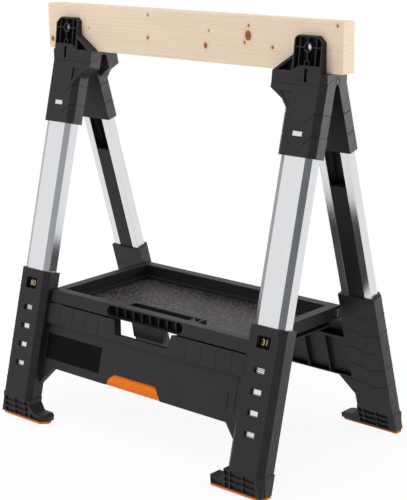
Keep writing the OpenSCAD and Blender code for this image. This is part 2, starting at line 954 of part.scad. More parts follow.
// Joint lines round both corners of a head.
module head_lines() {
  for (i = [1:head_line_count])
    for (side = [0, 1])
      mirror([side, 0, 0])
        head_line(i * head_line_pitch + head_line_start);
}

// The two front ears, or the room for them, leave the middle barrel free.
module ears(radius, gap) {
  ear_w = (shell_w - barrel_w) / 2 - gap;
  on_pin(radius, -shell_w / 2, ear_w);
  on_pin(radius, shell_w / 2 - ear_w, ear_w);
}

module front_head() {
  color(shell_color)
    difference() {
      union() {
        difference() {
          head_sleeve();
          above_stop(ear_r);
        }
        ears(ear_r, ear_gap);
      }
      on_pin(ear_r + ear_gap, -barrel_w / 2 - ear_gap, barrel_w + 2 * ear_gap);
      on_pin(pin_r + pin_gap, -overrun, overrun * 2);
      head_cuts();
    }
}

// Outline of a jaw seen from the front, about its leg's middle and the fold pin.
module jaw_outline(y_far, depth) {
  translate([leg_x, 0, pin_height])
    upright([
      [jaw_half, jaw_root_rise],
      [jaw_half, jaw_rise - jaw_cut_out],
      [jaw_half - jaw_cut_out, jaw_rise],
      [-jaw_half + jaw_cut_in, jaw_rise],
      [-jaw_half, jaw_rise - jaw_cut_in],
      [-jaw_half, jaw_wing_rise],
      [-jaw_half - wing_reach, jaw_tip_rise],
      [-jaw_half - wing_reach, jaw_root_rise]
    ], y_far, depth);
}

// What is cut away in front of the jaw's plate: the pocket, and a hollow in the wing beside it.
module jaw_pocket() {
  translate([leg_x, 0, pin_height]) {
    upright([
      [jaw_half - jaw_border, pocket_low],
      [jaw_half - jaw_border, jaw_rise - jaw_cut_out],
      [jaw_half - jaw_cut_out, jaw_rise - jaw_border],
      [-jaw_half + jaw_cut_in, jaw_rise - jaw_border],
      [-jaw_half + jaw_border, jaw_rise - jaw_cut_in],
      [-jaw_half + jaw_border, pocket_low - wing_border * 2],
      [-jaw_rib_x, pocket_low]
    ], -timber_half - jaw_plate, overrun);
    upright([
      [-jaw_half - jaw_border / 2, seat_rise + jaw_border],
      [-jaw_half - jaw_border / 2, jaw_wing_rise - wing_border - jaw_border],
      [-jaw_half - wing_reach + wing_border * 2 + jaw_border, seat_rise + jaw_border]
    ], -timber_half - jaw_plate, overrun);
  }
}

// The front jaw with its ribbed pocket.
module front_jaw() {
  intersection() {
    jaw_outline(0, overrun);
    translate([0, 0, pin_height])
      lengthwise([
        [-timber_half, jaw_root_rise],
        [-timber_half, jaw_rise],
        [-jaw_top_front, jaw_rise],
        [-root_front, jaw_root_rise]
      ], 0, overrun * 2);
    union() {
      difference() {
        translate([0, -overrun, pin_height])
          cube([overrun * 2, overrun, overrun]);
        jaw_pocket();
      }
      jaw_ribs();
    }
  }
}

// Ribs and the screw boss in the jaw's pocket.
module jaw_ribs() {
  translate([leg_x, -timber_half, pin_height]) {
    translate([0, 0, boss_rise])
      rotate([quarter_turn, 0, 0])
        cylinder(h = jaw_front - timber_half, r = boss_r);
    translate([0, 0, eye_rise])
      rotate([quarter_turn, 0, 0])
        cylinder(h = jaw_front - timber_half, r = eye_r + jaw_rib);
    for (x = [-jaw_rib_x, 0, jaw_rib_x])
      translate([x - jaw_rib / 2, timber_half - jaw_front, seat_rise])
        cube([jaw_rib, jaw_front - timber_half, jaw_rise - seat_rise]);
    translate([-jaw_half, timber_half - jaw_front, boss_rise - jaw_rib / 2])
      cube([shell_face_w, jaw_front - timber_half, jaw_rib]);
  }
}

// Holes and the slot in a jaw.
module jaw_cuts() {
  translate([leg_x, 0, pin_height]) {
    translate([0, 0, boss_rise])
      rotate([quarter_turn, 0, 0])
        cylinder(h = overrun, r = screw_r + pin_gap);
    translate([0, -timber_half - jaw_plate, boss_rise])
      rotate([quarter_turn, 0, 0])
        cylinder(h = overrun, r = boss_bore_r);
    translate([0, -timber_half - jaw_plate / 2, eye_rise])
      rotate([quarter_turn, 0, 0])
        cylinder(h = overrun, r = eye_r);
    translate([-slot_w / 2, -overrun - seat_front + slot_depth, pocket_low - slot_h - wing_border])
      cube([slot_w, overrun, slot_h]);
  }
}

// Underside of the saddle: both slopes of the opening stop.
saddle_section = [
  [-jaw_front, stop_foot],
  [0, stop_rise],
  [jaw_front, stop_foot],
  [seat_front, seat_rise],
  [-seat_front, seat_rise]
];

// Base of the saddle, with its outer corners cut as the legs' are.
module saddle_base() {
  intersection() {
    translate([0, 0, pin_height])
      lengthwise(saddle_section, leg_x - jaw_half - wing_reach, jaw_half + wing_reach + shell_w);
    translate([leg_x, 0, 0])
      linear_extrude(height = pin_height + overrun)
        polygon([
          [-shell_w * 2, -jaw_front - shell_chamfer],
          [shell_face_w - shell_w / 2, -jaw_front - shell_chamfer],
          [shell_w / 2, -jaw_front + shell_chamfer],
          [shell_w / 2, jaw_front - shell_chamfer],
          [shell_face_w - shell_w / 2, jaw_front + shell_chamfer],
          [-shell_w * 2, jaw_front + shell_chamfer]
        ]);
  }
}

// Saddle and rear head in one moulding: the timber sits in it and the front head hangs below it.
module saddle_head() {
  color(shell_color)
    difference() {
      union() {
        difference() {
          turned()
            left_hand()
              head_sleeve();
          translate([-overrun * 2, -overrun, pin_height + seat_rise])
            cube([overrun * 4, overrun * 2, overrun]);
        }
        saddle_base();
        front_jaw();
        mirror([0, 1, 0])
          front_jaw();
        on_pin(ear_r, -barrel_w / 2, barrel_w);
      }
      ears(ear_r + ear_gap, -ear_gap);
      on_pin(pin_r + pin_gap, -overrun, overrun * 2);
      turned()
        left_hand()
          head_cuts();
      jaw_cuts();
      mirror([0, 1, 0])
        jaw_cuts();
    }
}

module fold_pin() {
  color(steel_color)
    on_pin(pin_r, -shell_w / 2, shell_w + band_proud);
}

module tube_clip() {
  color(steel_color)
    on_leg()
      translate([-clip_w / 2, -shell_front + tube_wall / 2, -clip_drop - clip_h / 2])
        cube([clip_w, shell_proud - tube_wall / 2, clip_h]);
}

// Timber

module timber_beam() {
  color(timber_color)
    difference() {
      translate([-timber_l / 2, -timber_half, pin_height + seat_rise])
        cube([timber_l, timber_t, timber_h]);
      all_corners()
        screw_bore();
    }
}

// The hole of one timber screw, from the front.
module screw_bore() {
  translate([leg_x, -timber_half + screw_bite + pin_gap, pin_height + boss_rise])
    rotate([quarter_turn, 0, 0])
      cylinder(h = overrun, r = screw_r + pin_gap);
}

module timber_screw() {
  head_r = screw_head_w / sqrt(3);
  color(steel_color)
    translate([leg_x, -timber_half + screw_bite, pin_height + boss_rise])
      rotate([quarter_turn, 0, 0]) {
        cylinder(h = screw_bite + jaw_plate, r = screw_r);
        translate([0, 0, screw_bite + jaw_plate])
          cylinder(h = screw_head_h, r = head_r, $fn = 6);
      }
}

// Tray

tray_section = [
  [-tray_front - skirt_draft, skirt_low],
  [tray_rear, skirt_low],
  [tray_rear, tray_top],
  [-tray_front, tray_top]
];

// A box between two corners.
module box(low, high) {
  translate(low)
    cube(high - low);
}

// The hollow under one side rim, where the arm runs, open at the rear. A lip is left under the arm.
module side_channel() {
  lip_x = arm_mid_x + arm_w / 2 - tray_wall;
  difference() {
    box([pan_half, -pan_front + tray_wall, -overrun],
      [channel_out, tray_rear + overrun, tray_top - tray_wall]);
    box([lip_x, -overrun, 0], [overrun, pivot_y - pivot_r * 4, skirt_low + tray_wall]);
  }
  box([pan_half, pivot_y - pivot_r - arm_gap, pivot_z - pivot_r - arm_gap],
    [overrun, tray_rear + overrun, pivot_z + pivot_r + arm_gap]);
}

// The recess for the fingers in the front skirt, with its ribs left standing.
module handle_recess() {
  rib_pitch = handle_w / (handle_ribs + 1);
  recess_low = tray_top - tray_wall - handle_h;
  difference() {
    union() {
      box([-handle_w / 2 + handle_h / 2, -overrun, recess_low],
        [handle_w / 2 - handle_h / 2, -tray_front + handle_depth, recess_low + handle_h]);
      for (side = [-1, 1])
        translate([side * (handle_w - handle_h) / 2, -tray_front + handle_depth, recess_low + handle_h / 2])
          rotate([quarter_turn, 0, 0])
            cylinder(h = overrun, r = handle_h / 2);
    }
    for (i = [1:handle_ribs])
      box([-handle_w / 2 + i * rib_pitch - tray_wall / 2, -tray_front + tray_wall, 0],
        [-handle_w / 2 + i * rib_pitch + tray_wall / 2, 0, overrun]);
  }
}

// The inside of the tray, with the raised deck behind the handle left standing.
module pan_inside() {
  difference() {
    union() {
      box([-pan_half + tray_wall, -pan_front + tray_wall, tray_floor + step_h],
        [pan_half - tray_wall, pan_rear - tray_wall, overrun]);
      box([-pan_half + tray_wall + step_w, -pan_front + tray_wall + step_w, tray_floor],
        [pan_half - tray_wall - step_w, pan_rear - tray_wall - step_w, overrun]);
    }
    box([-deck_w / 2, -overrun, 0], [deck_w / 2, deck_back, deck_top]);
  }
}

// The hollow under the deck, the finger slot and a three-cornered hole beside it.
module deck_cuts() {
  slot_back = deck_back - tray_wall * 2;
  corner_x = deck_w / 2 - tray_wall * 2;
  box([-deck_w / 2 + tray_wall, -pan_front + tray_wall, -overrun],
    [deck_w / 2 - tray_wall, deck_back - tray_wall, deck_top - tray_wall]);
  box([-finger_w / 2, slot_back - finger_d, 0], [finger_w / 2, slot_back, overrun]);
  linear_extrude(height = overrun)
    polygon([[corner_x, slot_back], [corner_x - finger_d, slot_back], [corner_x, slot_back - finger_d]]);
}

// The hollows under the front rim, beside the handle, and under the rear rim.
module rim_hollows() {
  both_sides()
    box([handle_w / 2 + tray_wall, -tray_front + tray_wall, -overrun],
      [pan_half, -pan_front, tray_top - tray_wall]);
  box([-pan_half, pan_rear, -overrun], [pan_half, tray_rear - tray_wall, tray_top - tray_wall]);
}

// Small notches along the top of the rear rim.
module rear_notches() {
  notch_pitch = tray_w / (notch_count + 1);
  for (i = [1:notch_count])
    box([-tray_half + i * notch_pitch - tray_wall / 2, tray_rear - tray_wall * 2, tray_top - tray_wall / 2],
      [-tray_half + i * notch_pitch + tray_wall / 2, tray_rear + overrun, tray_top + overrun]);
}

// The latch tongue that drops into the front panel's hand opening, made smaller by a margin.
module tongue(margin) {
  upright([
    [-tongue_w / 2 + margin, tray_top - tray_wall - handle_h],
    [-tongue_w / 2 + margin, skirt_low],
    [-tongue_w / 2 + tongue_taper / 2 + margin, skirt_low - tongue_h + margin],
    [tongue_w / 2 - tongue_taper / 2 - margin, skirt_low - tongue_h + margin],
    [tongue_w / 2 - margin, skirt_low],
    [tongue_w / 2 - margin, tray_top - tray_wall - handle_h]
  ], tongue_back, tongue_d - margin);
}

module tray() {
  color(shell_color)
    difference() {
      union() {
        lengthwise(tray_section, -tray_half, tray_w);
        box([-pan_half, -pan_front, tray_floor - tray_wall], [pan_half, pan_rear, tray_top]);
        tongue(0);
      }
      pan_inside();
      deck_cuts();
      rim_hollows();
      both_sides()
        side_channel();
      handle_recess();
      rear_notches();
      difference() {
        tongue(tray_wall);
        box([-overrun, -overrun, skirt_low], [overrun, 0, overrun]);
      }
    }
}

// Arm of the tray: it turns on the hanger's pin and the tray slides on it.
module tray_arm() {
  color(core_color)
    difference() {
      union() {
        box([arm_mid_x - arm_w / 2, arm_front, arm_low], [arm_mid_x + arm_w / 2, pivot_y, arm_top]);
        translate([0, pivot_y, pivot_z])
          bar_x(arm_round, arm_mid_x - arm_w / 2, arm_w);
        box([arm_mid_x - arm_w / 2, arm_front, arm_low - arm_rib_h],
          [arm_mid_x - arm_w / 2 + arm_rib_w, pivot_y - arm_round * 2, arm_top]);
        box([arm_mid_x - arm_w / 2, arm_front, arm_low - arm_rib_h],
          [panel_half - arm_gap * 2, pivot_y - arm_round * 2, arm_low - arm_rib_h + arm_flange_t]);
      }
      translate([0, pivot_y, pivot_z])
        bar_x(pivot_r + pin_gap, 0, overrun);
    }
}

// Plate on the rear leg with the pin that carries a tray arm.
module tray_hanger() {
  plate_h = pivot_r * 4;
  color(steel_color) {
    box([panel_half - hanger_t, pivot_y - plate_h / 2, pivot_z - plate_h / 2],
      [panel_half, pivot_y + plate_h, pivot_z + plate_h / 2]);
    translate([0, pivot_y, pivot_z])
      bar_x(pivot_r, arm_mid_x - arm_w / 2, panel_half - hanger_t - arm_mid_x + arm_w / 2);
  }
}

// Nodes

timber_beam();
all_corners() timber_screw();  // timber_screws
left_hand() saddle_head();  // saddle_head_left
saddle_head();  // saddle_head_right
left_hand() front_head();  // front_head_left
front_head();  // front_head_right
both_sides() fold_pin();  // fold_pins
both_sides() tube_clip();  // tube_clips_front
turned() both_sides() tube_clip();  // tube_clips_rear
left_hand() tube();  // tube_front_left
tube();  // tube_front_right
turned() tube();  // tube_rear_left
turned() left_hand() tube();  // tube_rear_right
both_sides() number_plate();  // number_plates_front
turned() both_sides() number_plate();  // number_plates_rear
left_hand() lower_leg();  // lower_leg_front_left
lower_leg();  // lower_leg_front_right
turned() lower_leg();  // lower_leg_rear_left
turned() left_hand() lower_leg();  // lower_leg_rear_right
left_hand() guide_rail();  // guide_rail_front_left
guide_rail();  // guide_rail_front_right
turned() guide_rail();  // guide_rail_rear_left
turned() left_hand() guide_rail();  // guide_rail_rear_right
panel(lip_section);  // front_panel
turned() panel(plain_section);  // rear_panel
label_plate();
grip();  // front_grip
turned() grip();  // rear_grip
left_hand() sole();  // sole_front_left
sole();  // sole_front_right
turned() sole();  // sole_rear_left
turned() left_hand() sole();  // sole_rear_right
both_sides() tube_plug();  // tube_plugs_front
turned() both_sides() tube_plug();  // tube_plugs_rear
both_sides() lock_spring();  // lock_springs_front
turned() both_sides() lock_spring();  // lock_springs_rear
left_hand() lock_button();  // lock_button_front_left
lock_button();  // lock_button_front_right
turned() lock_button();  // lock_button_rear_left
turned() left_hand() lock_button();  // lock_button_rear_right
tray();
left_hand() tray_arm();  // tray_arm_left
tray_arm();  // tray_arm_right
both_sides() tray_hanger();  // tray_hangers
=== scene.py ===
"""Dresses the folding builders trestle: its finishes, height numbers, floor, light and camera.

Lengths are in metres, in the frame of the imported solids: X runs along the timber, the front faces -Y
and +Z is up. Colours are linear. A span holds the two values between which a mask goes from 0 to 1, a
share says how much of something shows, and a shade is what a colour is multiplied by.
"""

import json
import logging
import math
import operator
from collections.abc import Iterator, Mapping, Sequence
from dataclasses import dataclass, field
from enum import Enum
from functools import reduce
from typing import Protocol, Union

import bpy
from mathutils import Matrix, Vector


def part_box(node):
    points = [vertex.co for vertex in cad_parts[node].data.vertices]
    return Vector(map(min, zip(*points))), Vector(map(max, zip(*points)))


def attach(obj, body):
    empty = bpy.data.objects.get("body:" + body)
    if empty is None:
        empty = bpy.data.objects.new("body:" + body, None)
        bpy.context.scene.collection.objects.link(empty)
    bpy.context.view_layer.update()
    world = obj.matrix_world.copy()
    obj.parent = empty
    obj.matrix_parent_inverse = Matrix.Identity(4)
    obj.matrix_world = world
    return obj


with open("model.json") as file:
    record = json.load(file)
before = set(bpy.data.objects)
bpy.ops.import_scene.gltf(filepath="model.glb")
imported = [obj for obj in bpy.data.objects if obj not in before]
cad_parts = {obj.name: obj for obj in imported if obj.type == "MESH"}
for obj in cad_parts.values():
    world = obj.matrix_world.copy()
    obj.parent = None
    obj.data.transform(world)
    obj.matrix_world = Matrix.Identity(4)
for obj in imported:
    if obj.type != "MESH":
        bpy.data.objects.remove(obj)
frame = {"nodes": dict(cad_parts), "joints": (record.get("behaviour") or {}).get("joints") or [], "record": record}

LOG = logging.getLogger("trestle")
DARK_MOULDINGS = ("saddle_head", "front_head", "lower_leg", "front_panel", "rear_panel")

Pair = tuple[float, float]
Triple = tuple[float, float, float]
Colour = Triple
Value = Union[float, Sequence[float], "Wire"]


class Side(Enum):
    """A choice of side, whose value is the sign of a coordinate."""

    @property
    def word(self) -> str:
        """The side's name, as the names of pieces have it."""
        return self.name.lower()


class End(Side):
    """The two ends that the legs stand at, with the sign of their Y."""

    FRONT = -1
    REAR = 1


class Hand(Side):
    """The two hands of the trestle, seen from the front, with the sign of their X."""

    LEFT = -1
    RIGHT = 1


@dataclass(frozen=True)
class LegLine:
    """How the legs stand: their lean, the height of the fold pins and how far out a tube's middle is."""

    lean: float
    pin_height: float
    out: float

    @classmethod
    def from_frame(cls) -> "LegLine":
        """Reads the legs' line from the joints and from one tube.

        Returns:
            The line that all four legs follow, as mirror images.
        """
        joints = {joint["name"]: joint for joint in frame["joints"]}
        _, back, up = joints["height"]["axis"]
        low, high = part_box("tube_front_right")
        return cls(math.atan2(-back, up), joints["fold"]["pos_m"][2], (low.x + high.x) / 2)


LEGS = LegLine.from_frame()


def mount_height(name: str) -> float:
    """The height of one of the record's mounts."""
    return next(mount["pos_m"][2] for mount in frame["record"]["mounts"] if mount["name"] == name)


def shade(colour: Colour, factor: float) -> Colour:
    """A colour made lighter or darker by a factor."""
    return tuple(channel * factor for channel in colour)


def opaque(colour: Value) -> Value:
    """A colour with its fourth channel, or a link as it is."""
    return colour if isinstance(colour, Wire) else (*colour, 1.0)


def centred(share: "Wire") -> "Wire":
    """A value from 0 to 1, moved so that its middle is zero."""
    return share - 0.5


@dataclass(frozen=True)
class Blobs:
    """A layer of noise: its blobs in a metre, its finer layers and how strong those are."""

    scale: float
    detail: float = 2.0
    rough: float = 0.5


class Wire:
    """A node's output that takes part in Python sums: each operator adds one Math node."""

    def __init__(self, graph: "Graph", socket: bpy.types.NodeSocket | None) -> None:
        """Keeps the graph and the socket that it wraps."""
        self.graph = graph
        self.socket = socket

    def _math(self, operation: str, first: Value, second: Value) -> "Wire":
        """Adds a Math node and gives its result."""
        return self.graph.node("ShaderNodeMath", {"operation": operation}, {0: first, 1: second})

    def __add__(self, other: Value) -> "Wire":
        """Adds a value."""
        return self._math("ADD", self, other)

    def __radd__(self, other: Value) -> "Wire":
        """Adds this to a number."""
        return self._math("ADD", other, self)

    def __sub__(self, other: Value) -> "Wire":
        """Takes a value away."""
        return self._math("SUBTRACT", self, other)

    def __rsub__(self, other: Value) -> "Wire":
        """Takes this away from a number."""
        return self._math("SUBTRACT", other, self)

    def __mul__(self, other: Value) -> "Wire":
        """Multiplies by a value."""
        return self._math("MULTIPLY", self, other)

    def __rmul__(self, other: Value) -> "Wire":
        """Multiplies a number by this."""
        return self._math("MULTIPLY", other, self)

    def __truediv__(self, other: Value) -> "Wire":
        """Divides by a value."""
        return self._math("DIVIDE", self, other)

    def __rtruediv__(self, other: Value) -> "Wire":
        """Divides a number by this."""
        return self._math("DIVIDE", other, self)

    def __mod__(self, other: Value) -> "Wire":
        """The remainder after a whole number of steps, never below zero."""
        return self._math("FLOORED_MODULO", self, other)

    def __rmod__(self, other: Value) -> "Wire":
        """The remainder of a number after whole steps of this."""
        return self._math("FLOORED_MODULO", other, self)

    def __abs__(self) -> "Wire":
        """The value without its sign."""
        return self.graph.node("ShaderNodeMath", {"operation": "ABSOLUTE"}, {0: self})


class Graph:
    """The nodes of one material or of the world."""

    BEVEL_SAMPLES = 6
    EDGE_SPAN = (0.995, 0.80)

    def __init__(self, owner: bpy.types.Material | bpy.types.World) -> None:
        """Empties the node tree of its owner.

        Args:
            owner: What the nodes belong to.
        """
        owner.use_nodes = True
        self.owner = owner
        self.tree = owner.node_tree
        self.tree.nodes.clear()

    @classmethod
    def material(cls, name: str) -> "Graph":
        """Starts the nodes of a new material."""
        return cls(bpy.data.materials.new(name))

    def node(
        self,
        kind: str,
        settings: Mapping[str, object] | None = None,
        sockets: Mapping[Union[str, int], Value] | None = None,
        output: Union[str, int] = 0,
    ) -> Wire:
        """Adds any node.

        Args:
            kind: The node's type.
            settings: Its settings, set first.
            sockets: The value or the link of each named or numbered input.
            output: The output that is wanted.

        Returns:
            That output, or an empty wire for a node that ends the graph.
        """
        made = self.tree.nodes.new(kind)
        for key, setting in (settings or {}).items():
            setattr(made, key, setting)
        for key, value in (sockets or {}).items():
            if isinstance(value, Wire):
                self.tree.links.new(value.socket, made.inputs[key])
            else:
                made.inputs[key].default_value = value
        return Wire(self, made.outputs[output] if made.outputs else None)

    def vector(self, operation: str, first: Value, second: Value) -> Wire:
        """Adds a Vector Math node that gives a vector."""
        return self.node("ShaderNodeVectorMath", {"operation": operation}, {0: first, 1: second})

    def measure(self, operation: str, first: Value, second: Value) -> Wire:
        """Adds a Vector Math node that gives a number."""
        return self.node("ShaderNodeVectorMath", {"operation": operation}, {0: first, 1: second}, "Value")

    def place(self, turn: Triple = (0, 0, 0), stretch: Triple = (1, 1, 1)) -> Wire:
        """The point on the piece, in metres.

        Args:
            turn: A turn about each axis, in radians.
            stretch: What each coordinate is multiplied by after the turn.

        Returns:
            The turned and stretched point.
        """
        point = self.node("ShaderNodeTexCoord", output="Object")
        turned = self.node("ShaderNodeMapping", {}, {"Vector": point, "Rotation": turn})
        return self.vector("MULTIPLY", turned, stretch)

    def axis(self, point: Wire, name: str) -> Wire:
        """One coordinate of a point, by the name X, Y or Z."""
        return self.node("ShaderNodeSeparateXYZ", {}, {0: point}, name)

    def stir(self, point: Wire, scale: float, reach: float) -> Wire:
        """Moves points by up to reach, so that a pattern read there loses its regular look."""
        drift = self.node("ShaderNodeTexNoise", {}, {"Vector": point, "Scale": scale}, "Color")
        return self.vector("ADD", point, self.vector("MULTIPLY", drift, (reach, reach, reach)))

    def step(self, value: Wire, low: float, high: float) -> Wire:
        """A smooth rise from 0 at low to 1 at high, or a fall where low is the larger."""
        sockets = {"Value": value, "From Min": low, "From Max": high}
        return self.node("ShaderNodeMapRange", {"interpolation_type": "SMOOTHSTEP"}, sockets)

    def within(self, value: Wire, low: float, high: float, soft: float) -> Wire:
        """1 between two bounds and 0 outside them, with a change that reaches soft past each bound."""
        return self.step(value, low - soft, low + soft) * self.step(value, high + soft, high - soft)

    def noise(self, point: Wire, blobs: Blobs) -> Wire:
        """Soft noise about one half."""
        sockets = {"Vector": point, "Scale": blobs.scale, "Detail": blobs.detail, "Roughness": blobs.rough}
        return self.node("ShaderNodeTexNoise", {}, sockets)

    def drift(self, point: Wire, blobs: Blobs) -> Wire:
        """Soft noise about zero."""
        return centred(self.noise(point, blobs))

    def patches(self, point: Wire, blobs: Blobs, span: Pair) -> Wire:
        """Noise that is cut into patches by a span."""
        return self.step(self.noise(point, blobs), *span)

    def cells(self, point: Wire, scale: float, output: str = "Distance") -> Wire:
        """A field of cells, with scale of them in a metre."""
        return self.node("ShaderNodeTexVoronoi", {}, {"Vector": point, "Scale": scale}, output)

    def mix(self, share: Value, first: Value, second: Value) -> Wire:
        """Blends two colours, where share is how much of the second one shows."""
        sockets = {0: share, 6: opaque(first), 7: opaque(second)}
        return self.node("ShaderNodeMix", {"data_type": "RGBA", "clamp_factor": True}, sockets, 2)

    def rounded(self, radius: float) -> Wire:
        """The normal with every sharp edge rounded by that radius."""
        return self.node("ShaderNodeBevel", {"samples": self.BEVEL_SAMPLES}, {"Radius": radius})

    def edges(self, rounded: Wire) -> Wire:
        """A mask of the edges that a rounded normal softens."""
        flat = self.node("ShaderNodeNewGeometry", output="Normal")
        return self.step(self.measure("DOT_PRODUCT", rounded, flat), *self.EDGE_SPAN)

    def bump(self, height: Wire, depth: float, normal: Wire) -> Wire:
        """Bends a normal by a height from 0 to 1, which is that many metres deep."""
        return self.node("ShaderNodeBump", {}, {"Distance": depth, "Height": height, "Normal": normal})

    def surface(self, **sockets: Value) -> bpy.types.Material:
        """Ends the material in one Principled shader, given its inputs with _ for each space in a name."""
        named = {key.replace("_", " "): value for key, value in sockets.items()}
        return self.close(self.node("ShaderNodeBsdfPrincipled", {}, named))

    def close(self, shader: Wire) -> bpy.types.Material:
        """Links a shader to the material's surface and gives the material."""
        self.node("ShaderNodeOutputMaterial", {}, {"Surface": shader})
        return self.owner


class Finish(Protocol):
    """What every finish can do."""

    def paint(self) -> bpy.types.Material:
        """Makes the finish's material."""


@dataclass(frozen=True)
class MouldedPlastic:
    """Dark moulded plastic with a fine spark-eroded grain and slightly polished edges."""

    name: str = "charcoal_plastic"
    colour: Colour = (0.0098, 0.0090, 0.0102)
    clouds: Blobs = Blobs(11.0, 5.0, 0.6)
    cloud_span: Pair = (0.3, 0.7)
    cloud_shades: Pair = (0.88, 1.12)
    flecks: Blobs = Blobs(750.0, 1.0)
    fleck_span: Pair = (0.56, 0.78)
    fleck_shade: float = 1.7
    fleck_share: float = 0.35
    # the paler edge colour is partly edge wear and partly painted highlight
    worn: Colour = (0.040, 0.0375, 0.040)
    wear_and_highlight_share: float = 0.45
    grain: Blobs = Blobs(1500.0)
    grain_depth: float = 0.00006
    edge_radius: float = 0.0009
    edge_polish: float = 0.08
    rubs: Blobs = Blobs(23.0, 4.0, 0.6)
    rub_reach: float = 0.16
    roughness: float = 0.52
    gloss: float = 0.34
    gloss_tint: Colour = (1.0, 0.92, 0.98)

    def tone(self, graph: Graph, point: Wire, edge: Wire) -> Wire:
        """The plastic's colour: soft clouds, fine flecks and paler edges, which are partly edge wear and partly
        painted highlight.

        Args:
            graph: The material's nodes.
            point: Where the colour is read.
            edge: The mask of the edges.

        Returns:
            The colour.
        """
        clouds = graph.patches(point, self.clouds, self.cloud_span)
        flecks = graph.patches(point, self.flecks, self.fleck_span)
        colour = graph.mix(clouds, *(shade(self.colour, factor) for factor in self.cloud_shades))
        colour = graph.mix(flecks * self.fleck_share, colour, shade(self.colour, self.fleck_shade))
        # paler edges: partly edge wear, partly painted highlight
        return graph.mix(edge * self.wear_and_highlight_share, colour, self.worn)

    def paint(self) -> bpy.types.Material:
        """Makes the plastic.

        Returns:
            The plastic's material.
        """
        graph = Graph.material(self.name)
        point = graph.place()
        rounded = graph.rounded(self.edge_radius)
        edge = graph.edges(rounded)
        rubs = graph.drift(point, self.rubs) * self.rub_reach
        return graph.surface(
            Base_Color=self.tone(graph, point, edge),
            Roughness=self.roughness + rubs - edge * self.edge_polish,
            Specular_IOR_Level=self.gloss,
            Specular_Tint=opaque(self.gloss_tint),
            Normal=graph.bump(graph.noise(point, self.grain), self.grain_depth, rounded),
        )


@dataclass(frozen=True)
class CorePlastic(MouldedPlastic):
    """The blacker plastic of the guide rails and the tube plugs."""

    name: str = "core_plastic"
    colour: Colour = (0.0075, 0.0072, 0.0076)
    # paler edges, partly edge wear and partly painted highlight
    worn: Colour = (0.03, 0.029, 0.03)


@dataclass(frozen=True)
class TrayPlastic(MouldedPlastic):
    """The tray's plastic, with pebbled grain on its floor."""

    name: str = "tray_plastic"
    gloss_tint: Colour = (1.0, 0.93, 0.90)
    floor_height: float = mount_height("tray_floor")
    floor_below: float = 0.0006
    floor_above: float = 0.0010
    floor_soft: float = 0.0001
    floor_dark: Colour = (0.014, 0.0126, 0.0118)
    floor_pale: Colour = (0.130, 0.116, 0.106)
    floor_polish: float = 0.06
    pebbles: float = 140.0
    pebble_span: Pair = (0.75, 0.15)
    pebble_depth: float = 0.0011
    stir_scale: float = 40.0
    stir_reach: float = 0.004
    crumbs: Blobs = Blobs(196.0, 2.0, 0.6)
    crumb_share: float = 0.6
    crumb_relief: float = 0.3
    speck_span: Pair = (0.50, 0.66)
    speck_least: float = 0.45
    wear: Blobs = Blobs(7.0, 3.0)
    wear_share: float = 0.5
    wear_reach: float = 0.14

    def paint(self) -> bpy.types.Material:
        """Makes the tray's plastic.

        Returns:
            The tray's material.
        """
        graph = Graph.material(self.name)
        point = graph.place()
        rounded = graph.rounded(self.edge_radius)
        edge = graph.edges(rounded)
        low = self.floor_height - self.floor_below
        high = self.floor_height + self.floor_above
        floor = graph.within(graph.axis(point, "Z"), low, high, self.floor_soft)
        stirred = graph.stir(point, self.stir_scale, self.stir_reach)
        pebble = graph.step(graph.cells(stirred, self.pebbles), *self.pebble_span)
        crumb = graph.noise(point, self.crumbs)
        blend = crumb * self.crumb_share + pebble * (1 - self.crumb_share)
        speck = graph.step(blend, *self.speck_span)
        wear = graph.noise(point, self.wear)
        pale = speck * (self.speck_least + wear * self.wear_share)
        pebbled = graph.mix(pale, self.floor_dark, self.floor_pale)
        fine = graph.bump(graph.noise(point, self.grain), self.grain_depth, rounded)
        relief = (pebble * (1 - self.crumb_relief) + crumb * self.crumb_relief) * floor
        return graph.surface(
            Base_Color=graph.mix(floor, self.tone(graph, point, edge), pebbled),
            Roughness=self.roughness + centred(wear) * self.wear_reach - floor * self.floor_polish,
            Specular_IOR_Level=self.gloss,
            Specular_Tint=opaque(self.gloss_tint),
            Normal=graph.bump(relief, self.pebble_depth, fine),
        )


@dataclass(frozen=True)
class Orange:
    """The soles' orange: fine dimples that are darker in their hollows, and paler edges."""

    name: str = "orange_sole"
    colour: Colour = (0.88, 0.185, 0.004)
    darker_orange: Colour = (0.48, 0.080, 0.003)
    dimples: float = 380.0
    dimple_span: Pair = (0.10, 0.55)
    hollow_depth: float = 0.00022
    hollow_share: float = 0.40
    dust: Blobs = Blobs(55.0, 5.0, 0.65)
    dust_span: Pair = (0.48, 0.80)
    dust_share: float = 0.28
    dust_rough: float = 0.18
    edge_colour: Colour = (0.95, 0.30, 0.03)
    edge_share: float = 0.22
    edge_polish: float = 0.05
    edge_radius: float = 0.0012
    roughness: float = 0.55
    gloss: float = 0.20

    def relief(self, graph: Graph, point: Wire) -> Wire:
        """The height of the dimpled surface, from 0 to 1."""
        return graph.step(graph.cells(point, self.dimples), *self.dimple_span)

    def paint(self) -> bpy.types.Material:
        """Makes the orange.

        Returns:
            The orange material.
        """
        graph = Graph.material(self.name)
        point = graph.place()
        rounded = graph.rounded(self.edge_radius)
        edge = graph.edges(rounded)
        relief = self.relief(graph, point)
        dust = graph.patches(point, self.dust, self.dust_span)
        # the hollows of the dimples are darker
        colour = graph.mix((1 - relief) * self.hollow_share, self.colour, self.darker_orange)
        colour = graph.mix(dust * self.dust_share, colour, self.darker_orange)
        colour = graph.mix(edge * self.edge_share, colour, self.edge_colour)
        return graph.surface(
            Base_Color=colour,
            Roughness=self.roughness + dust * self.dust_rough - edge * self.edge_polish,
            Specular_IOR_Level=self.gloss,
            Normal=graph.bump(relief, self.hollow_depth, rounded),
        )


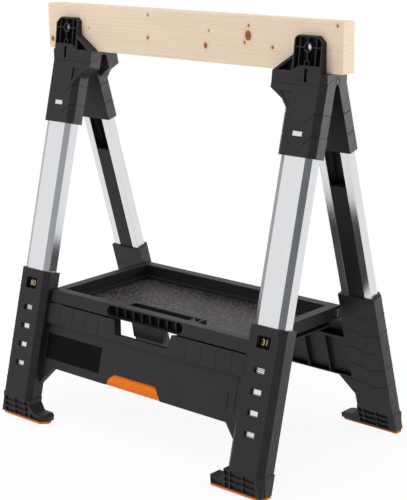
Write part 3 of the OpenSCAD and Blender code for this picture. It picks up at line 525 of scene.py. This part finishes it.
@dataclass(frozen=True)
class GripOrange(Orange):
    """Orange with rows of small dots, and upright joint lines near each end."""

    name: str = "orange_grip"
    roughness: float = 0.45
    pitch: float = 0.0024
    dot_span: Pair = (0.02, 0.11)
    line_places: tuple[float, ...] = (0.054, 0.062)
    line_half: float = 0.0004
    line_soft: float = 0.0001

    def relief(self, graph: Graph, point: Wire) -> Wire:
        """The height of the dotted surface.

        Args:
            graph: The material's nodes.
            point: The point on the grip.

        Returns:
            1 on the surface, 0 in the dots and lines.
        """
        across = graph.axis(point, "X")
        column = centred((across / self.pitch) % 1.0)
        row = centred((graph.axis(point, "Z") / self.pitch) % 1.0)
        dots = graph.step(column * column + row * row, *self.dot_span)
        lines = [
            graph.within(abs(across), place - self.line_half, place + self.line_half, self.line_soft)
            for place in self.line_places
        ]
        return dots * (1 - reduce(operator.add, lines))


@dataclass(frozen=True)
class SatinAluminium:
    """Drawn aluminium with fine lines along legs that lean, dull inside the tube, with painted shade inside the
    tube and on its outer chamfers.

    The room is the space inside the tube, the corners are its two outer chamfers, and the scale is the
    set of fine lines that shows in the first height window.
    """

    end: End
    legs: LegLine = LEGS
    dark: Colour = (0.655, 0.665, 0.685)
    pale: Colour = (0.81, 0.815, 0.83)
    # painted shade: the near-black colour inside the tube stands in for the shade in the channel
    inside: Colour = (0.030, 0.030, 0.033)
    half_room: float = 0.0334
    room_front: float = 0.0290
    room_back: float = 0.0052
    room_corner: float = 0.0405
    room_slope: float = 0.5
    room_dull: float = 0.7
    room_rough: float = 0.3
    # painted shade: the chamfers are painted darker for the dark reflection that they show
    corner: Colour = (0.20, 0.215, 0.24)
    corner_shade_share: float = 0.75
    corner_back: float = 0.0243
    half_face: float = 0.02265
    blur: float = 0.0002
    scale_drop: float = 0.5184
    scale_half: float = 0.0044
    scale_pitch: float = 0.0032
    scale_span: Pair = (0.52, 0.62)
    scale_shade: float = 0.12
    scale_share: float = 0.9
    stretch: float = 0.006
    lines: Blobs = Blobs(1900.0, 3.0, 0.6)
    line_share: float = 0.55
    line_depth: float = 0.00002
    line_rough: float = 0.12
    broad: Blobs = Blobs(228.0)
    marks: Blobs = Blobs(665.0, 1.0)
    mark_span: Pair = (0.66, 0.74)
    mark_shade: float = 0.80
    mark_share: float = 0.15
    clouds: Blobs = Blobs(9.0, 4.0, 0.6)
    cloud_rough: float = 0.10
    edge_radius: float = 0.0007
    edge_polish: float = 0.04
    roughness: float = 0.21

    @property
    def name(self) -> str:
        """The material's name."""
        return f"{self.end.word}_aluminium"

    @property
    def turn(self) -> Triple:
        """The turn that stands this end's legs upright."""
        return (-self.end.value * self.legs.lean, 0, 0)

    def _section(self, graph: Graph) -> tuple[Wire, Wire]:
        """The place in the tube's section.

        Args:
            graph: The material's nodes.

        Returns:
            The distance from the tube's middle, and the depth from the fold plane.
        """
        leg = graph.place(self.turn)
        fold_plane = self.legs.pin_height * math.sin(self.legs.lean)
        depth = abs(graph.axis(leg, "Y")) - fold_plane
        return abs(abs(graph.axis(leg, "X")) - self.legs.out), depth

    def _corners(self, graph: Graph, off_centre: Wire, depth: Wire) -> Wire:
        """A mask of the tube's outer chamfers, which get painted shade."""
        beside = graph.step(off_centre, self.half_face, self.half_face + self.blur)
        return beside * graph.step(depth, self.corner_back, self.corner_back + self.blur)

    def _room(self, graph: Graph, off_centre: Wire, depth: Wire) -> Wire:
        """A mask of the surfaces inside the tube.

        Args:
            graph: The material's nodes.
            off_centre: The distance from the tube's middle.
            depth: The depth from the fold plane.

        Returns:
            1 inside the tube and 0 on its outer faces.
        """
        slant = off_centre * self.room_slope + depth
        across = graph.step(off_centre, self.half_room, self.half_room - self.blur)
        corner = graph.step(slant, self.room_corner, self.room_corner - self.blur)
        return graph.within(depth, self.room_back, self.room_front, self.blur / 2) * across * corner

    def _scale(self, graph: Graph) -> Wire:
        """A mask of the scale's lines.

        Args:
            graph: The material's nodes.

        Returns:
            1 on a line and 0 elsewhere.
        """
        pin = self.legs.pin_height * math.cos(self.legs.lean)
        along = graph.axis(graph.place(self.turn), "Z") - pin
        printed = graph.within(along + self.scale_drop, -self.scale_half, self.scale_half, self.blur / 2)
        return printed * graph.step((along / self.scale_pitch) % 1.0, *self.scale_span)

    def paint(self) -> bpy.types.Material:
        """Makes the aluminium.

        Returns:
            The material of this end's tubes.
        """
        graph = Graph.material(self.name)
        along = graph.place(self.turn, (1, 1, self.stretch))
        rounded = graph.rounded(self.edge_radius)
        lines = graph.noise(along, self.lines)
        broad = graph.noise(along, self.broad)
        marks = graph.patches(along, self.marks, self.mark_span)
        clouds = graph.drift(graph.place(), self.clouds)
        section = self._section(graph)
        room = self._room(graph, *section)
        drawn = lines * self.line_share + broad * (1 - self.line_share)
        colour = graph.mix(drawn, self.dark, self.pale)
        colour = graph.mix(marks * self.mark_share, colour, shade(self.dark, self.mark_shade))
        # painted shade on the outer chamfers
        colour = graph.mix(self._corners(graph, *section) * self.corner_shade_share, colour, self.corner)
        printed = self._scale(graph) * self.scale_share
        colour = graph.mix(printed, colour, shade(self.dark, self.scale_shade))
        # painted shade: the inside of the tube is painted near black
        colour = graph.mix(room, colour, self.inside)
        satin = self.roughness + centred(lines) * self.line_rough + clouds * self.cloud_rough
        return graph.surface(
            Base_Color=colour,
            Metallic=1 - room * self.room_dull,
            Roughness=satin - graph.edges(rounded) * self.edge_polish + room * self.room_rough,
            Normal=graph.bump(lines, self.line_depth, rounded),
        )


@dataclass(frozen=True)
class PlatedSteel:
    """Zinc-plated steel with faint crystals and a cool and warm cast."""

    name: str = "plated_steel"
    cool: Colour = (0.72, 0.78, 0.86)
    warm: Colour = (0.76, 0.74, 0.68)
    cast: Blobs = Blobs(90.0, 3.0)
    crystals: float = 380.0
    crystal_shade: float = 0.72
    crystal_share: float = 0.25
    crystal_rough: float = 0.10
    scratches: Blobs = Blobs(2600.0)
    scratch_turn: Triple = (0, 0, 0.6)
    scratch_stretch: Triple = (1, 0.03, 1)
    scratch_depth: float = 0.00001
    scratch_rough: float = 0.16
    edge_radius: float = 0.0004
    roughness: float = 0.27

    def paint(self) -> bpy.types.Material:
        """Makes the steel.

        Returns:
            The steel's material.
        """
        graph = Graph.material(self.name)
        point = graph.place()
        crystal = graph.axis(graph.cells(point, self.crystals, "Color"), "X")
        scratches = graph.noise(graph.place(self.scratch_turn, self.scratch_stretch), self.scratches)
        colour = graph.mix(graph.noise(point, self.cast), self.cool, self.warm)
        colour = graph.mix(crystal * self.crystal_share, colour, shade(self.cool, self.crystal_shade))
        matt = crystal * self.crystal_rough + centred(scratches) * self.scratch_rough
        return graph.surface(
            Base_Color=colour,
            Metallic=1.0,
            Roughness=self.roughness + matt,
            Normal=graph.bump(scratches, self.scratch_depth, graph.rounded(self.edge_radius)),
        )


@dataclass(frozen=True)
class DullSteel(PlatedSteel):
    """The darker steel of the fold pins."""

    name: str = "dull_steel"
    cool: Colour = (0.20, 0.21, 0.225)
    warm: Colour = (0.21, 0.20, 0.19)
    roughness: float = 0.42


@dataclass(frozen=True)
class GlossBlack:
    """Smooth black sheet for the number plates and the bare label place, with fine dust and hairlines."""

    name: str = "gloss_black"
    colour: Colour = (0.0014, 0.0013, 0.0014)
    dust_colour: Colour = (0.010, 0.0095, 0.0095)
    dust: Blobs = Blobs(900.0, 3.0, 0.6)
    dust_span: Pair = (0.62, 0.80)
    dust_share: float = 0.6
    hairs: Blobs = Blobs(2100.0)
    hair_turn: Triple = (0, 0.5, 0)
    hair_stretch: Triple = (1, 1, 0.02)
    hair_span: Pair = (0.64, 0.72)
    hair_share: float = 0.25
    hair_depth: float = 0.00001
    hair_rough: float = 0.10
    smears: Blobs = Blobs(30.0, 4.0, 0.6)
    smear_reach: float = 0.16
    edge_radius: float = 0.0005
    roughness: float = 0.36
    gloss: float = 0.06

    def paint(self) -> bpy.types.Material:
        """Makes the black sheet.

        Returns:
            The sheet's material.
        """
        graph = Graph.material(self.name)
        point = graph.place()
        dust = graph.patches(point, self.dust, self.dust_span)
        hair = graph.patches(graph.place(self.hair_turn, self.hair_stretch), self.hairs, self.hair_span)
        smears = graph.drift(point, self.smears) * self.smear_reach
        soiled = dust * self.dust_share + hair * self.hair_share
        return graph.surface(
            Base_Color=graph.mix(soiled, self.colour, self.dust_colour),
            Roughness=self.roughness + smears + hair * self.hair_rough,
            Specular_IOR_Level=self.gloss,
            Normal=graph.bump(hair, self.hair_depth, graph.rounded(self.edge_radius)),
        )


@dataclass(frozen=True)
class GoldPrint:
    """The pale gold ink of the height numbers, slightly worn."""

    name: str = "gold_print"
    ink: Colour = (0.60, 0.45, 0.25)
    bare: Colour = (0.20, 0.14, 0.07)
    wear: Blobs = Blobs(1600.0, 4.0, 0.7)
    wear_span: Pair = (0.60, 0.72)
    wear_rough: float = 0.2
    roughness: float = 0.42

    def paint(self) -> bpy.types.Material:
        """Makes the ink.

        Returns:
            The ink's material.
        """
        graph = Graph.material(self.name)
        worn = graph.patches(graph.place(), self.wear, self.wear_span)
        return graph.surface(
            Base_Color=graph.mix(worn, self.ink, self.bare),
            Roughness=self.roughness + worn * self.wear_rough,
        )


@dataclass(frozen=True)
class Knot:
    """One knot of the timber: its place on the face and its radius."""

    x: float
    z: float
    radius: float


@dataclass(frozen=True)
class Pine:
    """Planed softwood: growth rings about a pith, knots that bend them, and sawn ends.

    A squeeze is what the timber's length is multiplied by, so that noise runs along the grain. The reaches
    of a knot are counted in its radius.
    """

    name: str = "pine"
    early: Colour = (0.825, 0.675, 0.522)
    late: Colour = (0.705, 0.520, 0.345)
    heart: Colour = (0.79, 0.530, 0.315)
    sawn_end: Colour = (0.90, 0.735, 0.580)
    knot: Colour = (0.36, 0.135, 0.045)
    bark: Colour = (0.15, 0.058, 0.022)
    pith_y: float = 0.010
    pith_z: float = 0.690
    ring: float = 0.0068
    ring_rise: Pair = (0.35, 0.94)
    ring_fall: Pair = (1.0, 0.95)
    ring_span: Pair = (0.30, 0.75)
    ring_share: float = 0.42
    ring_relief: float = 0.35
    ring_polish: float = 0.08
    sway: Blobs = Blobs(14.0, 3.0)
    sway_squeeze: float = 0.10
    sway_reach: float = 0.020
    broad: Blobs = Blobs(30.0, 3.0)
    broad_squeeze: float = 0.10
    heart_span: Pair = (0.50, 0.80)
    heart_share: float = 0.20
    streaks: Blobs = Blobs(420.0)
    streak_squeeze: float = 0.012
    streak_span: Pair = (0.45, 0.75)
    streak_share: float = 0.30
    fibres: Blobs = Blobs(1500.0, 3.0, 0.6)
    fibre_squeeze: float = 0.02
    fibre_span: Pair = (0.46, 0.74)
    fibre_shade: float = 0.92
    fibre_share: float = 0.20
    fibre_relief: float = 0.4
    half_length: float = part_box("timber_beam")[1].x
    cut_span: Pair = (0.0006, 0.0002)
    cut_share: float = 0.75
    cut_ring_share: float = 0.30
    cut_rough: float = 0.18
    saw_marks: Blobs = Blobs(900.0, 3.0, 0.6)
    saw_turn: Triple = (0.35, 0, 0)
    saw_stretch: Triple = (1, 1, 0.04)
    saw_shade: float = 0.85
    saw_share: float = 0.16
    saw_relief: float = 0.8
    ragged: Blobs = Blobs(260.0, 3.0)
    ragged_reach: float = 0.0016
    knot_squash: float = 0.8
    knot_push: float = 1.2
    push_reach: float = 4.5
    core_reaches: Pair = (1.25, 0.85)
    about_reach: float = 3.2
    about_share: float = 0.50
    flames: Blobs = Blobs(900.0)
    flame_span: Pair = (0.40, 0.62)
    knot_relief: float = 0.3
    knot_polish: float = 0.15
    edge_radius: float = 0.0012
    edge_shade: float = 1.05
    edge_share: float = 0.18
    relief_depth: float = 0.00018
    roughness: float = 0.62
    gloss: float = 0.25
    knots: tuple[Knot, ...] = (
        Knot(-0.0899, 0.8047, 0.0028),
        Knot(-0.0918, 0.7615, 0.0036),
        Knot(0.0567, 0.7561, 0.0050),
        Knot(0.0649, 0.7839, 0.0026),
        Knot(0.1600, 0.7806, 0.0078),
        Knot(0.1612, 0.7983, 0.0030),
        Knot(0.1513, 0.7676, 0.0030),
        Knot(0.2164, 0.7630, 0.0034),
        Knot(-0.2550, 0.7710, 0.0022),
        Knot(0.3600, 0.8085, 0.0030),
        Knot(-0.3620, 0.7440, 0.0050),
    )

    @staticmethod
    def _along(graph: Graph, squeeze: float) -> Wire:
        """The point on the timber with its length squeezed."""
        return graph.place(stretch=(squeeze, 1, 1))

    def _knots(self, graph: Graph, point: Wire) -> tuple[Wire, Wire, Wire]:
        """The knots as seen on the wide faces.

        Args:
            graph: The material's nodes.
            point: The point on the timber.

        Returns:
            How far the knots push the rings, the mask of the knots, and the mask of the wood about them.
        """
        ragged = graph.noise(point, self.ragged) * self.ragged_reach
        flat = graph.vector("MULTIPLY", point, (1.0, 0.0, self.knot_squash))
        outer, inner = self.core_reaches
        layers: list[tuple[Wire, Wire, Wire]] = []
        for knot in self.knots:
            away = graph.measure("DISTANCE", flat, (knot.x, 0.0, knot.z * self.knot_squash))
            rough = away + ragged
            push = graph.step(away, knot.radius * self.push_reach, 0.0) * (knot.radius * self.knot_push)
            core = graph.step(rough, knot.radius * outer, knot.radius * inner)
            about = graph.step(rough, knot.radius * self.about_reach, knot.radius)
            layers.append((push, core, about))
        return tuple(reduce(operator.add, layer) for layer in zip(*layers))

    def _rings(self, graph: Graph, point: Wire, push: Wire) -> Wire:
        """A mask of the late wood of the growth rings.

        Args:
            graph: The material's nodes.
            point: The point on the timber.
            push: How far the knots push the rings.

        Returns:
            1 at the dark edge of each ring and 0 in its early wood.
        """
        sway = graph.drift(self._along(graph, self.sway_squeeze), self.sway) * self.sway_reach
        across = graph.vector("MULTIPLY", point, (0.0, 1.0, 1.0))
        radius = graph.measure("DISTANCE", across, (0.0, self.pith_y, self.pith_z))
        ring = ((radius + push + sway) / self.ring) % 1.0
        return graph.step(ring, *self.ring_rise) * graph.step(ring, *self.ring_fall)

    def _planed(self, graph: Graph, late: Wire, fibre: Wire) -> Wire:
        """The colour of the planed faces, without knots.

        Args:
            graph: The material's nodes.
            late: The mask of the late wood.
            fibre: The noise of the fibres.

        Returns:
            The colour.
        """
        broad = graph.noise(self._along(graph, self.broad_squeeze), self.broad)
        streak = graph.patches(self._along(graph, self.streak_squeeze), self.streaks, self.streak_span)
        fine = graph.step(fibre, *self.fibre_span)
        warm = graph.step(broad, *self.heart_span)
        rings = late * graph.step(broad, *self.ring_span)
        colour = graph.mix(rings * self.ring_share, self.early, self.late)
        colour = graph.mix(streak * self.streak_share, colour, self.late)
        colour = graph.mix(fine * self.fibre_share, colour, shade(self.late, self.fibre_shade))
        return graph.mix(warm * self.heart_share, colour, self.heart)

    def _sawn(self, graph: Graph, planed: Wire, late: Wire, cut: Wire, marks: Wire) -> Wire:
        """The colour with the sawn ends.

        Args:
            graph: The material's nodes.
            planed: The colour of the planed faces.
            late: The mask of the late wood.
            cut: The mask of the ends.
            marks: The mask of the saw marks on the ends.

        Returns:
            The colour.
        """
        colour = graph.mix(cut * self.cut_share, planed, self.sawn_end)
        colour = graph.mix(cut * late * self.cut_ring_share, colour, self.late)
        return graph.mix(marks * self.saw_share, colour, shade(self.late, self.saw_shade))

    def paint(self) -> bpy.types.Material:
        """Makes the timber.

        Returns:
            The timber's material.
        """
        graph = Graph.material(self.name)
        point = graph.place()
        rounded = graph.rounded(self.edge_radius)
        push, core, about = self._knots(graph, point)
        late = self._rings(graph, point, push)
        fibre = graph.noise(self._along(graph, self.fibre_squeeze), self.fibres)
        ends = (self.half_length - inset for inset in self.cut_span)
        cut = graph.step(abs(graph.axis(point, "X")), *ends)
        marks = cut * graph.noise(graph.place(self.saw_turn, self.saw_stretch), self.saw_marks)
        knot = graph.mix(graph.patches(point, self.flames, self.flame_span), self.bark, self.knot)
        colour = graph.mix(about * self.about_share, self._planed(graph, late, fibre), self.heart)
        colour = self._sawn(graph, graph.mix(core, colour, knot), late, cut, marks)
        edge = graph.edges(rounded) * self.edge_share
        grain = late * self.ring_relief + fibre * self.fibre_relief
        relief = grain + marks * self.saw_relief - core * self.knot_relief
        planed = self.roughness - late * self.ring_polish
        return graph.surface(
            Base_Color=graph.mix(edge, colour, shade(self.early, self.edge_shade)),
            Roughness=planed + cut * self.cut_rough - core * self.knot_polish,
            Specular_IOR_Level=self.gloss,
            Normal=graph.bump(relief, self.relief_depth, rounded),
        )


@dataclass
class Palette:
    """The finishes in use, each painted once."""

    painted: dict[Finish, bpy.types.Material] = field(default_factory=dict)

    def material(self, finish: Finish) -> bpy.types.Material:
        """Gives a finish's material.

        Args:
            finish: The finish that is wanted.

        Returns:
            Its material, made on first use.
        """
        if finish not in self.painted:
            self.painted[finish] = finish.paint()
        return self.painted[finish]

    def dress(self, node: str, finish: Finish) -> str:
        """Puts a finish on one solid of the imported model.

        Args:
            node: The solid's name.
            finish: Its finish.

        Returns:
            The solid's name.
        """
        for slot in frame["nodes"][node].material_slots:
            slot.material = self.material(finish)
        return node


@dataclass
class TimberRail:
    """The timber on top, with the screws that hold it."""

    palette: Palette
    wood: Pine = Pine()
    screws: PlatedSteel = PlatedSteel()

    def build(self) -> Iterator[str]:
        """Dresses the timber and its screws, and yields each name."""
        yield self.palette.dress("timber_beam", self.wood)
        yield self.palette.dress("timber_screws", self.screws)


@dataclass
class UpperLegs:
    """The saddles, heads, tubes and height locks, which slide and fold together."""

    palette: Palette
    shell: MouldedPlastic = MouldedPlastic()
    core: CorePlastic = CorePlastic()
    steel: PlatedSteel = PlatedSteel()
    pins: DullSteel = DullSteel()
    plates: GlossBlack = GlossBlack()

    def build(self) -> Iterator[str]:
        """Dresses every piece of the upper legs.

        Yields:
            The name of each piece.
        """
        for hand in Hand:
            yield self.palette.dress(f"saddle_head_{hand.word}", self.shell)
            yield self.palette.dress(f"front_head_{hand.word}", self.shell)
        yield self.palette.dress("fold_pins", self.pins)
        for end in End:
            yield self.palette.dress(f"tube_clips_{end.word}", self.steel)
            yield self.palette.dress(f"tube_plugs_{end.word}", self.core)
            yield self.palette.dress(f"lock_springs_{end.word}", self.steel)
            yield self.palette.dress(f"number_plates_{end.word}", self.plates)
            for hand in Hand:
                yield self.palette.dress(f"tube_{end.word}_{hand.word}", SatinAluminium(end))
                yield self.palette.dress(f"lock_button_{end.word}_{hand.word}", self.steel)


@dataclass
class LowerFrames:
    """The lower legs with their soles, rails, panels, grips and label plate."""

    palette: Palette
    shell: MouldedPlastic = MouldedPlastic()
    core: CorePlastic = CorePlastic()
    sole: Orange = Orange()
    grip: GripOrange = GripOrange()
    label: GlossBlack = GlossBlack()

    def build(self) -> Iterator[str]:
        """Dresses every piece of the lower frames.

        Yields:
            The name of each piece.
        """
        for end in End:
            yield self.palette.dress(f"{end.word}_panel", self.shell)
            yield self.palette.dress(f"{end.word}_grip", self.grip)
            for hand in Hand:
                yield self.palette.dress(f"lower_leg_{end.word}_{hand.word}", self.shell)
                yield self.palette.dress(f"sole_{end.word}_{hand.word}", self.sole)
                yield self.palette.dress(f"guide_rail_{end.word}_{hand.word}", self.core)
        yield self.palette.dress("label_plate", self.label)


@dataclass
class ToolTray:
    """The tray, its arms and the hangers that carry them."""

    palette: Palette
    shell: TrayPlastic = TrayPlastic()
    arms: MouldedPlastic = MouldedPlastic()
    steel: PlatedSteel = PlatedSteel()

    def build(self) -> Iterator[str]:
        """Dresses the tray and what carries it.

        Yields:
            The name of each piece.
        """
        yield self.palette.dress("tray", self.shell)
        yield self.palette.dress("tray_hangers", self.steel)
        for hand in Hand:
            yield self.palette.dress(f"tray_arm_{hand.word}", self.arms)


@dataclass
class HeightNumbers:
    """The printed heights on the number plates: inches on one leg and centimetres on the other.

    drop is the way down the leg from the fold pin, face is how far the tube's outer face stands from the
    pin, and cap_share is a digit's height in a font of size 1.
    """

    palette: Palette
    ink: GoldPrint = GoldPrint()
    legs: LegLine = LEGS
    inches: str = "31"
    centimetres: str = "80"
    face: float = 0.0303
    drop: float = 0.4683
    digit_height: float = 0.0106
    cap_share: float = 0.7
    thickness: float = 0.0002

    def build(self) -> Iterator[str]:
        """Prints a number on each leg.

        Yields:
            The name of each piece.
        """
        for end in End:
            for hand in Hand:
                on_the_right = hand.value * end.value < 0
                yield self._print(end, hand, self.inches if on_the_right else self.centimetres)

    def _digits(self, name: str, number: str) -> bpy.types.Mesh:
        """Makes a number as a thin mesh about the origin that faces +Z.

        Args:
            name: The mesh's name.
            number: The number.

        Returns:
            The mesh.
        """
        curve = bpy.data.curves.new(name, "FONT")
        curve.body = number
        curve.align_x = "CENTER"
        curve.align_y = "CENTER"
        curve.size = self.digit_height / self.cap_share
        curve.extrude = self.thickness / 2
        drawn = bpy.data.objects.new(name, curve)
        bpy.context.scene.collection.objects.link(drawn)
        settled = drawn.evaluated_get(bpy.context.evaluated_depsgraph_get())
        mesh = bpy.data.meshes.new_from_object(settled)
        bpy.data.objects.remove(drawn)
        bpy.data.curves.remove(curve)
        mesh.name = name
        mesh.materials.clear()
        mesh.materials.append(self.palette.material(self.ink))
        return mesh

    def _spot(self, end: End, hand: Hand) -> Matrix:
        """The place of a number on its leg.

        Args:
            end: The front or the rear legs.
            hand: The left or the right leg.

        Returns:
            The move from the origin to the number plate.
        """
        half_turn = Matrix.Rotation(math.pi if end is End.REAR else 0.0, 4, "Z")
        across = self.legs.out * hand.value * -end.value
        leg = Matrix.Translation((0, 0, self.legs.pin_height)) @ Matrix.Rotation(-self.legs.lean, 4, "X")
        plate = Matrix.Translation((across, -self.face - self.thickness / 2, -self.drop))
        return half_turn @ leg @ plate @ Matrix.Rotation(math.pi / 2, 4, "X")

    def _print(self, end: End, hand: Hand, number: str) -> str:
        """Puts one number on its leg.

        Args:
            end: The front or the rear legs.
            hand: The left or the right leg.
            number: The number.

        Returns:
            The piece's name.
        """
        name = f"height_number_{end.word}_{hand.word}"
        mesh = self._digits(name, number)
        mesh.transform(self._spot(end, hand))
        piece = bpy.data.objects.new(name, mesh)
        bpy.context.scene.collection.objects.link(piece)
        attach(piece, f"{end.word}_upper")
        return name


@dataclass(frozen=True)
class SoftBox:
    """One square studio lamp, which can be kept to the solids whose names start with given words."""

    name: str
    place: Triple
    aim: Triple
    width: float
    watts: float
    in_gloss: bool = True
    lit_only: tuple[str, ...] = ()

    def _flag(self, hung: bpy.types.Object) -> None:
        """Keeps the lamp off every other solid.

        Args:
            hung: The lamp.
        """
        lit = bpy.data.collections.new(f"{self.name}_lit")
        for name, solid in frame["nodes"].items():
            if name.startswith(self.lit_only):
                lit.objects.link(solid)
        hung.light_linking.receiver_collection = lit

    def hang(self) -> str:
        """Puts the lamp in the scene.

        Returns:
            The lamp's name.
        """
        lamp = bpy.data.lights.new(self.name, "AREA")
        lamp.size = self.width
        lamp.energy = self.watts
        hung = bpy.data.objects.new(self.name, lamp)
        hung.location = self.place
        hung.rotation_euler = (Vector(self.aim) - Vector(self.place)).to_track_quat("-Z", "Y").to_euler()
        hung.visible_camera = False
        hung.visible_glossy = self.in_gloss
        bpy.context.scene.collection.objects.link(hung)
        if self.lit_only:
            self._flag(hung)
        return self.name


@dataclass
class Studio:
    """The floor, the light and the camera.

    The card is a darker part of the room about the camera, which only gloss shows.
    """

    white: Colour = (1.0, 1.0, 1.0)
    floor_size: float = 40.0
    floor_drop: float = 0.0004
    floor_colour: Colour = (0.97, 0.97, 0.97)
    floor_glow: float = 0.92
    shadow_reach: Pair = (0.35, 0.80)
    sky: float = 0.50
    gloss_sky: float = 1.0
    card_sky: float = 0.20
    card_tint: Colour = (0.86, 0.93, 1.0)
    card_aim: Triple = (0.64, -0.74, 0.20)
    card_span: Pair = (0.84, 0.93)
    lamps: tuple[SoftBox, ...] = (
        SoftBox("key_box", (2.3, 2.0, 1.0), (0.1, 0.0, 0.4), width=1.5, watts=48.0, in_gloss=False),
        SoftBox("top_box", (-0.5, -1.2, 3.2), (0.0, 0.0, 0.4), width=2.4, watts=42.0),
        SoftBox("left_box", (-2.4, -2.3, 1.6), (0.0, 0.0, 0.45), width=1.8, watts=24.0, in_gloss=False),
        SoftBox(
            "side_box", (2.2, 2.3, 0.5), (0.1, 0.0, 0.5), width=1.6, watts=75.0, lit_only=DARK_MOULDINGS
        ),
    )
    camera_place: Triple = (1.84076, -1.98232, 1.06956)
    azimuth: float = math.radians(42.472)
    elevation: float = math.radians(14.829)
    roll: float = math.radians(-1.208)
    focal_pixels: float = 1436.9
    frame_pixels: float = 500.0
    sensor: float = 36.0
    far_clip: float = 100.0

    def build(self) -> Iterator[str]:
        """Lays the floor, hangs the lamps and sets the camera.

        Yields:
            The name of each thing in the studio.
        """
        yield self._lay_floor()
        yield self._light_world()
        for lamp in self.lamps:
            yield lamp.hang()
        yield self._set_camera()
        bpy.context.scene.view_settings.view_transform = "Standard"

    def _paper(self) -> bpy.types.Material:
        """Makes the floor's paper, which is white to the eye and keeps the shadow near the object.

        Returns:
            The paper's material.
        """
        graph = Graph.material("studio_paper")
        diffuse = graph.node("ShaderNodeBsdfDiffuse", {}, {"Color": opaque(self.floor_colour)})
        glow = graph.node("ShaderNodeEmission", {}, {"Color": opaque(self.white), "Strength": 1.0})
        away = graph.measure("DISTANCE", graph.place(), (0.0, 0.0, 0.0))
        far = graph.step(away, *self.shadow_reach)
        share = self._seen(graph) * (self.floor_glow + far * (1.0 - self.floor_glow))
        return graph.close(graph.node("ShaderNodeMixShader", {}, {0: share, 1: diffuse, 2: glow}))

    def _lay_floor(self) -> str:
        """Makes the pale floor.

        Returns:
            The floor's name.
        """
        half = self.floor_size / 2
        corners = [(x * half, y * half, -self.floor_drop) for x, y in ((-1, -1), (1, -1), (1, 1), (-1, 1))]
        mesh = bpy.data.meshes.new("studio_floor")
        mesh.from_pydata(corners, [], [tuple(range(len(corners)))])
        mesh.materials.append(self._paper())
        floor = bpy.data.objects.new("studio_floor", mesh)
        bpy.context.scene.collection.objects.link(floor)
        return floor.name

    @staticmethod
    def _seen(graph: Graph) -> Wire:
        """1 for rays that show the studio itself: the camera's, and those in gloss and glass."""
        kinds = ("Is Camera Ray", "Is Glossy Ray", "Is Transmission Ray")
        return reduce(operator.add, [graph.node("ShaderNodeLightPath", output=kind) for kind in kinds])

    def _light_world(self) -> str:
        """Makes the even studio light, with the dark card in its gloss.

        Returns:
            The light's name.
        """
        world = bpy.data.worlds.new("studio_light")
        bpy.context.scene.world = world
        graph = Graph(world)
        backdrops = ((self.white, self.sky), (self.white, self.gloss_sky), (self.card_tint, self.card_sky))
        plain, bright, card = (
            graph.node("ShaderNodeBackground", {}, {"Color": opaque(tint), "Strength": strength})
            for tint, strength in backdrops
        )
        towards = graph.node("ShaderNodeTexCoord", output="Generated")
        match = graph.measure("DOT_PRODUCT", towards, Vector(self.card_aim).normalized())
        in_gloss = graph.node("ShaderNodeLightPath", output="Is Glossy Ray")
        on_card = graph.step(match, *self.card_span) * in_gloss
        room = graph.node("ShaderNodeMixShader", {}, {0: on_card, 1: bright, 2: card})
        glow = graph.node("ShaderNodeMixShader", {}, {0: self._seen(graph), 1: plain, 2: room})
        graph.node("ShaderNodeOutputWorld", {}, {"Surface": glow})
        return world.name

    def _set_camera(self) -> str:
        """Sets the camera where the photograph was taken.

        Returns:
            The camera's name.
        """
        lens = bpy.data.cameras.new("photo_camera")
        lens.sensor_width = self.sensor
        lens.lens = self.focal_pixels / self.frame_pixels * self.sensor
        lens.clip_end = self.far_clip
        camera = bpy.data.objects.new("photo_camera", lens)
        back = Vector((
            math.sin(self.azimuth) * math.cos(self.elevation),
            -math.cos(self.azimuth) * math.cos(self.elevation),
            math.sin(self.elevation),
        ))
        right = Vector((math.cos(self.azimuth), math.sin(self.azimuth), 0.0))
        up = back.cross(right)
        turned_right = right * math.cos(self.roll) + up * math.sin(self.roll)
        turned_up = up * math.cos(self.roll) - right * math.sin(self.roll)
        turn = Matrix((turned_right, turned_up, back)).transposed()
        camera.matrix_world = Matrix.Translation(self.camera_place) @ turn.to_4x4()
        bpy.context.scene.collection.objects.link(camera)
        bpy.context.scene.camera = camera
        return camera.name


def main() -> None:
    """Builds and dresses each sub-assembly in order."""
    logging.basicConfig(level=logging.INFO, format="%(name)s: %(message)s")
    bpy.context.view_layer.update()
    palette = Palette()
    for assembly in (
        Studio(),
        TimberRail(palette),
        UpperLegs(palette),
        LowerFrames(palette),
        ToolTray(palette),
        HeightNumbers(palette),
    ):
        for piece in assembly.build():
            LOG.info("%s: %s", type(assembly).__name__, piece)


if __name__ == "__main__":
    main()
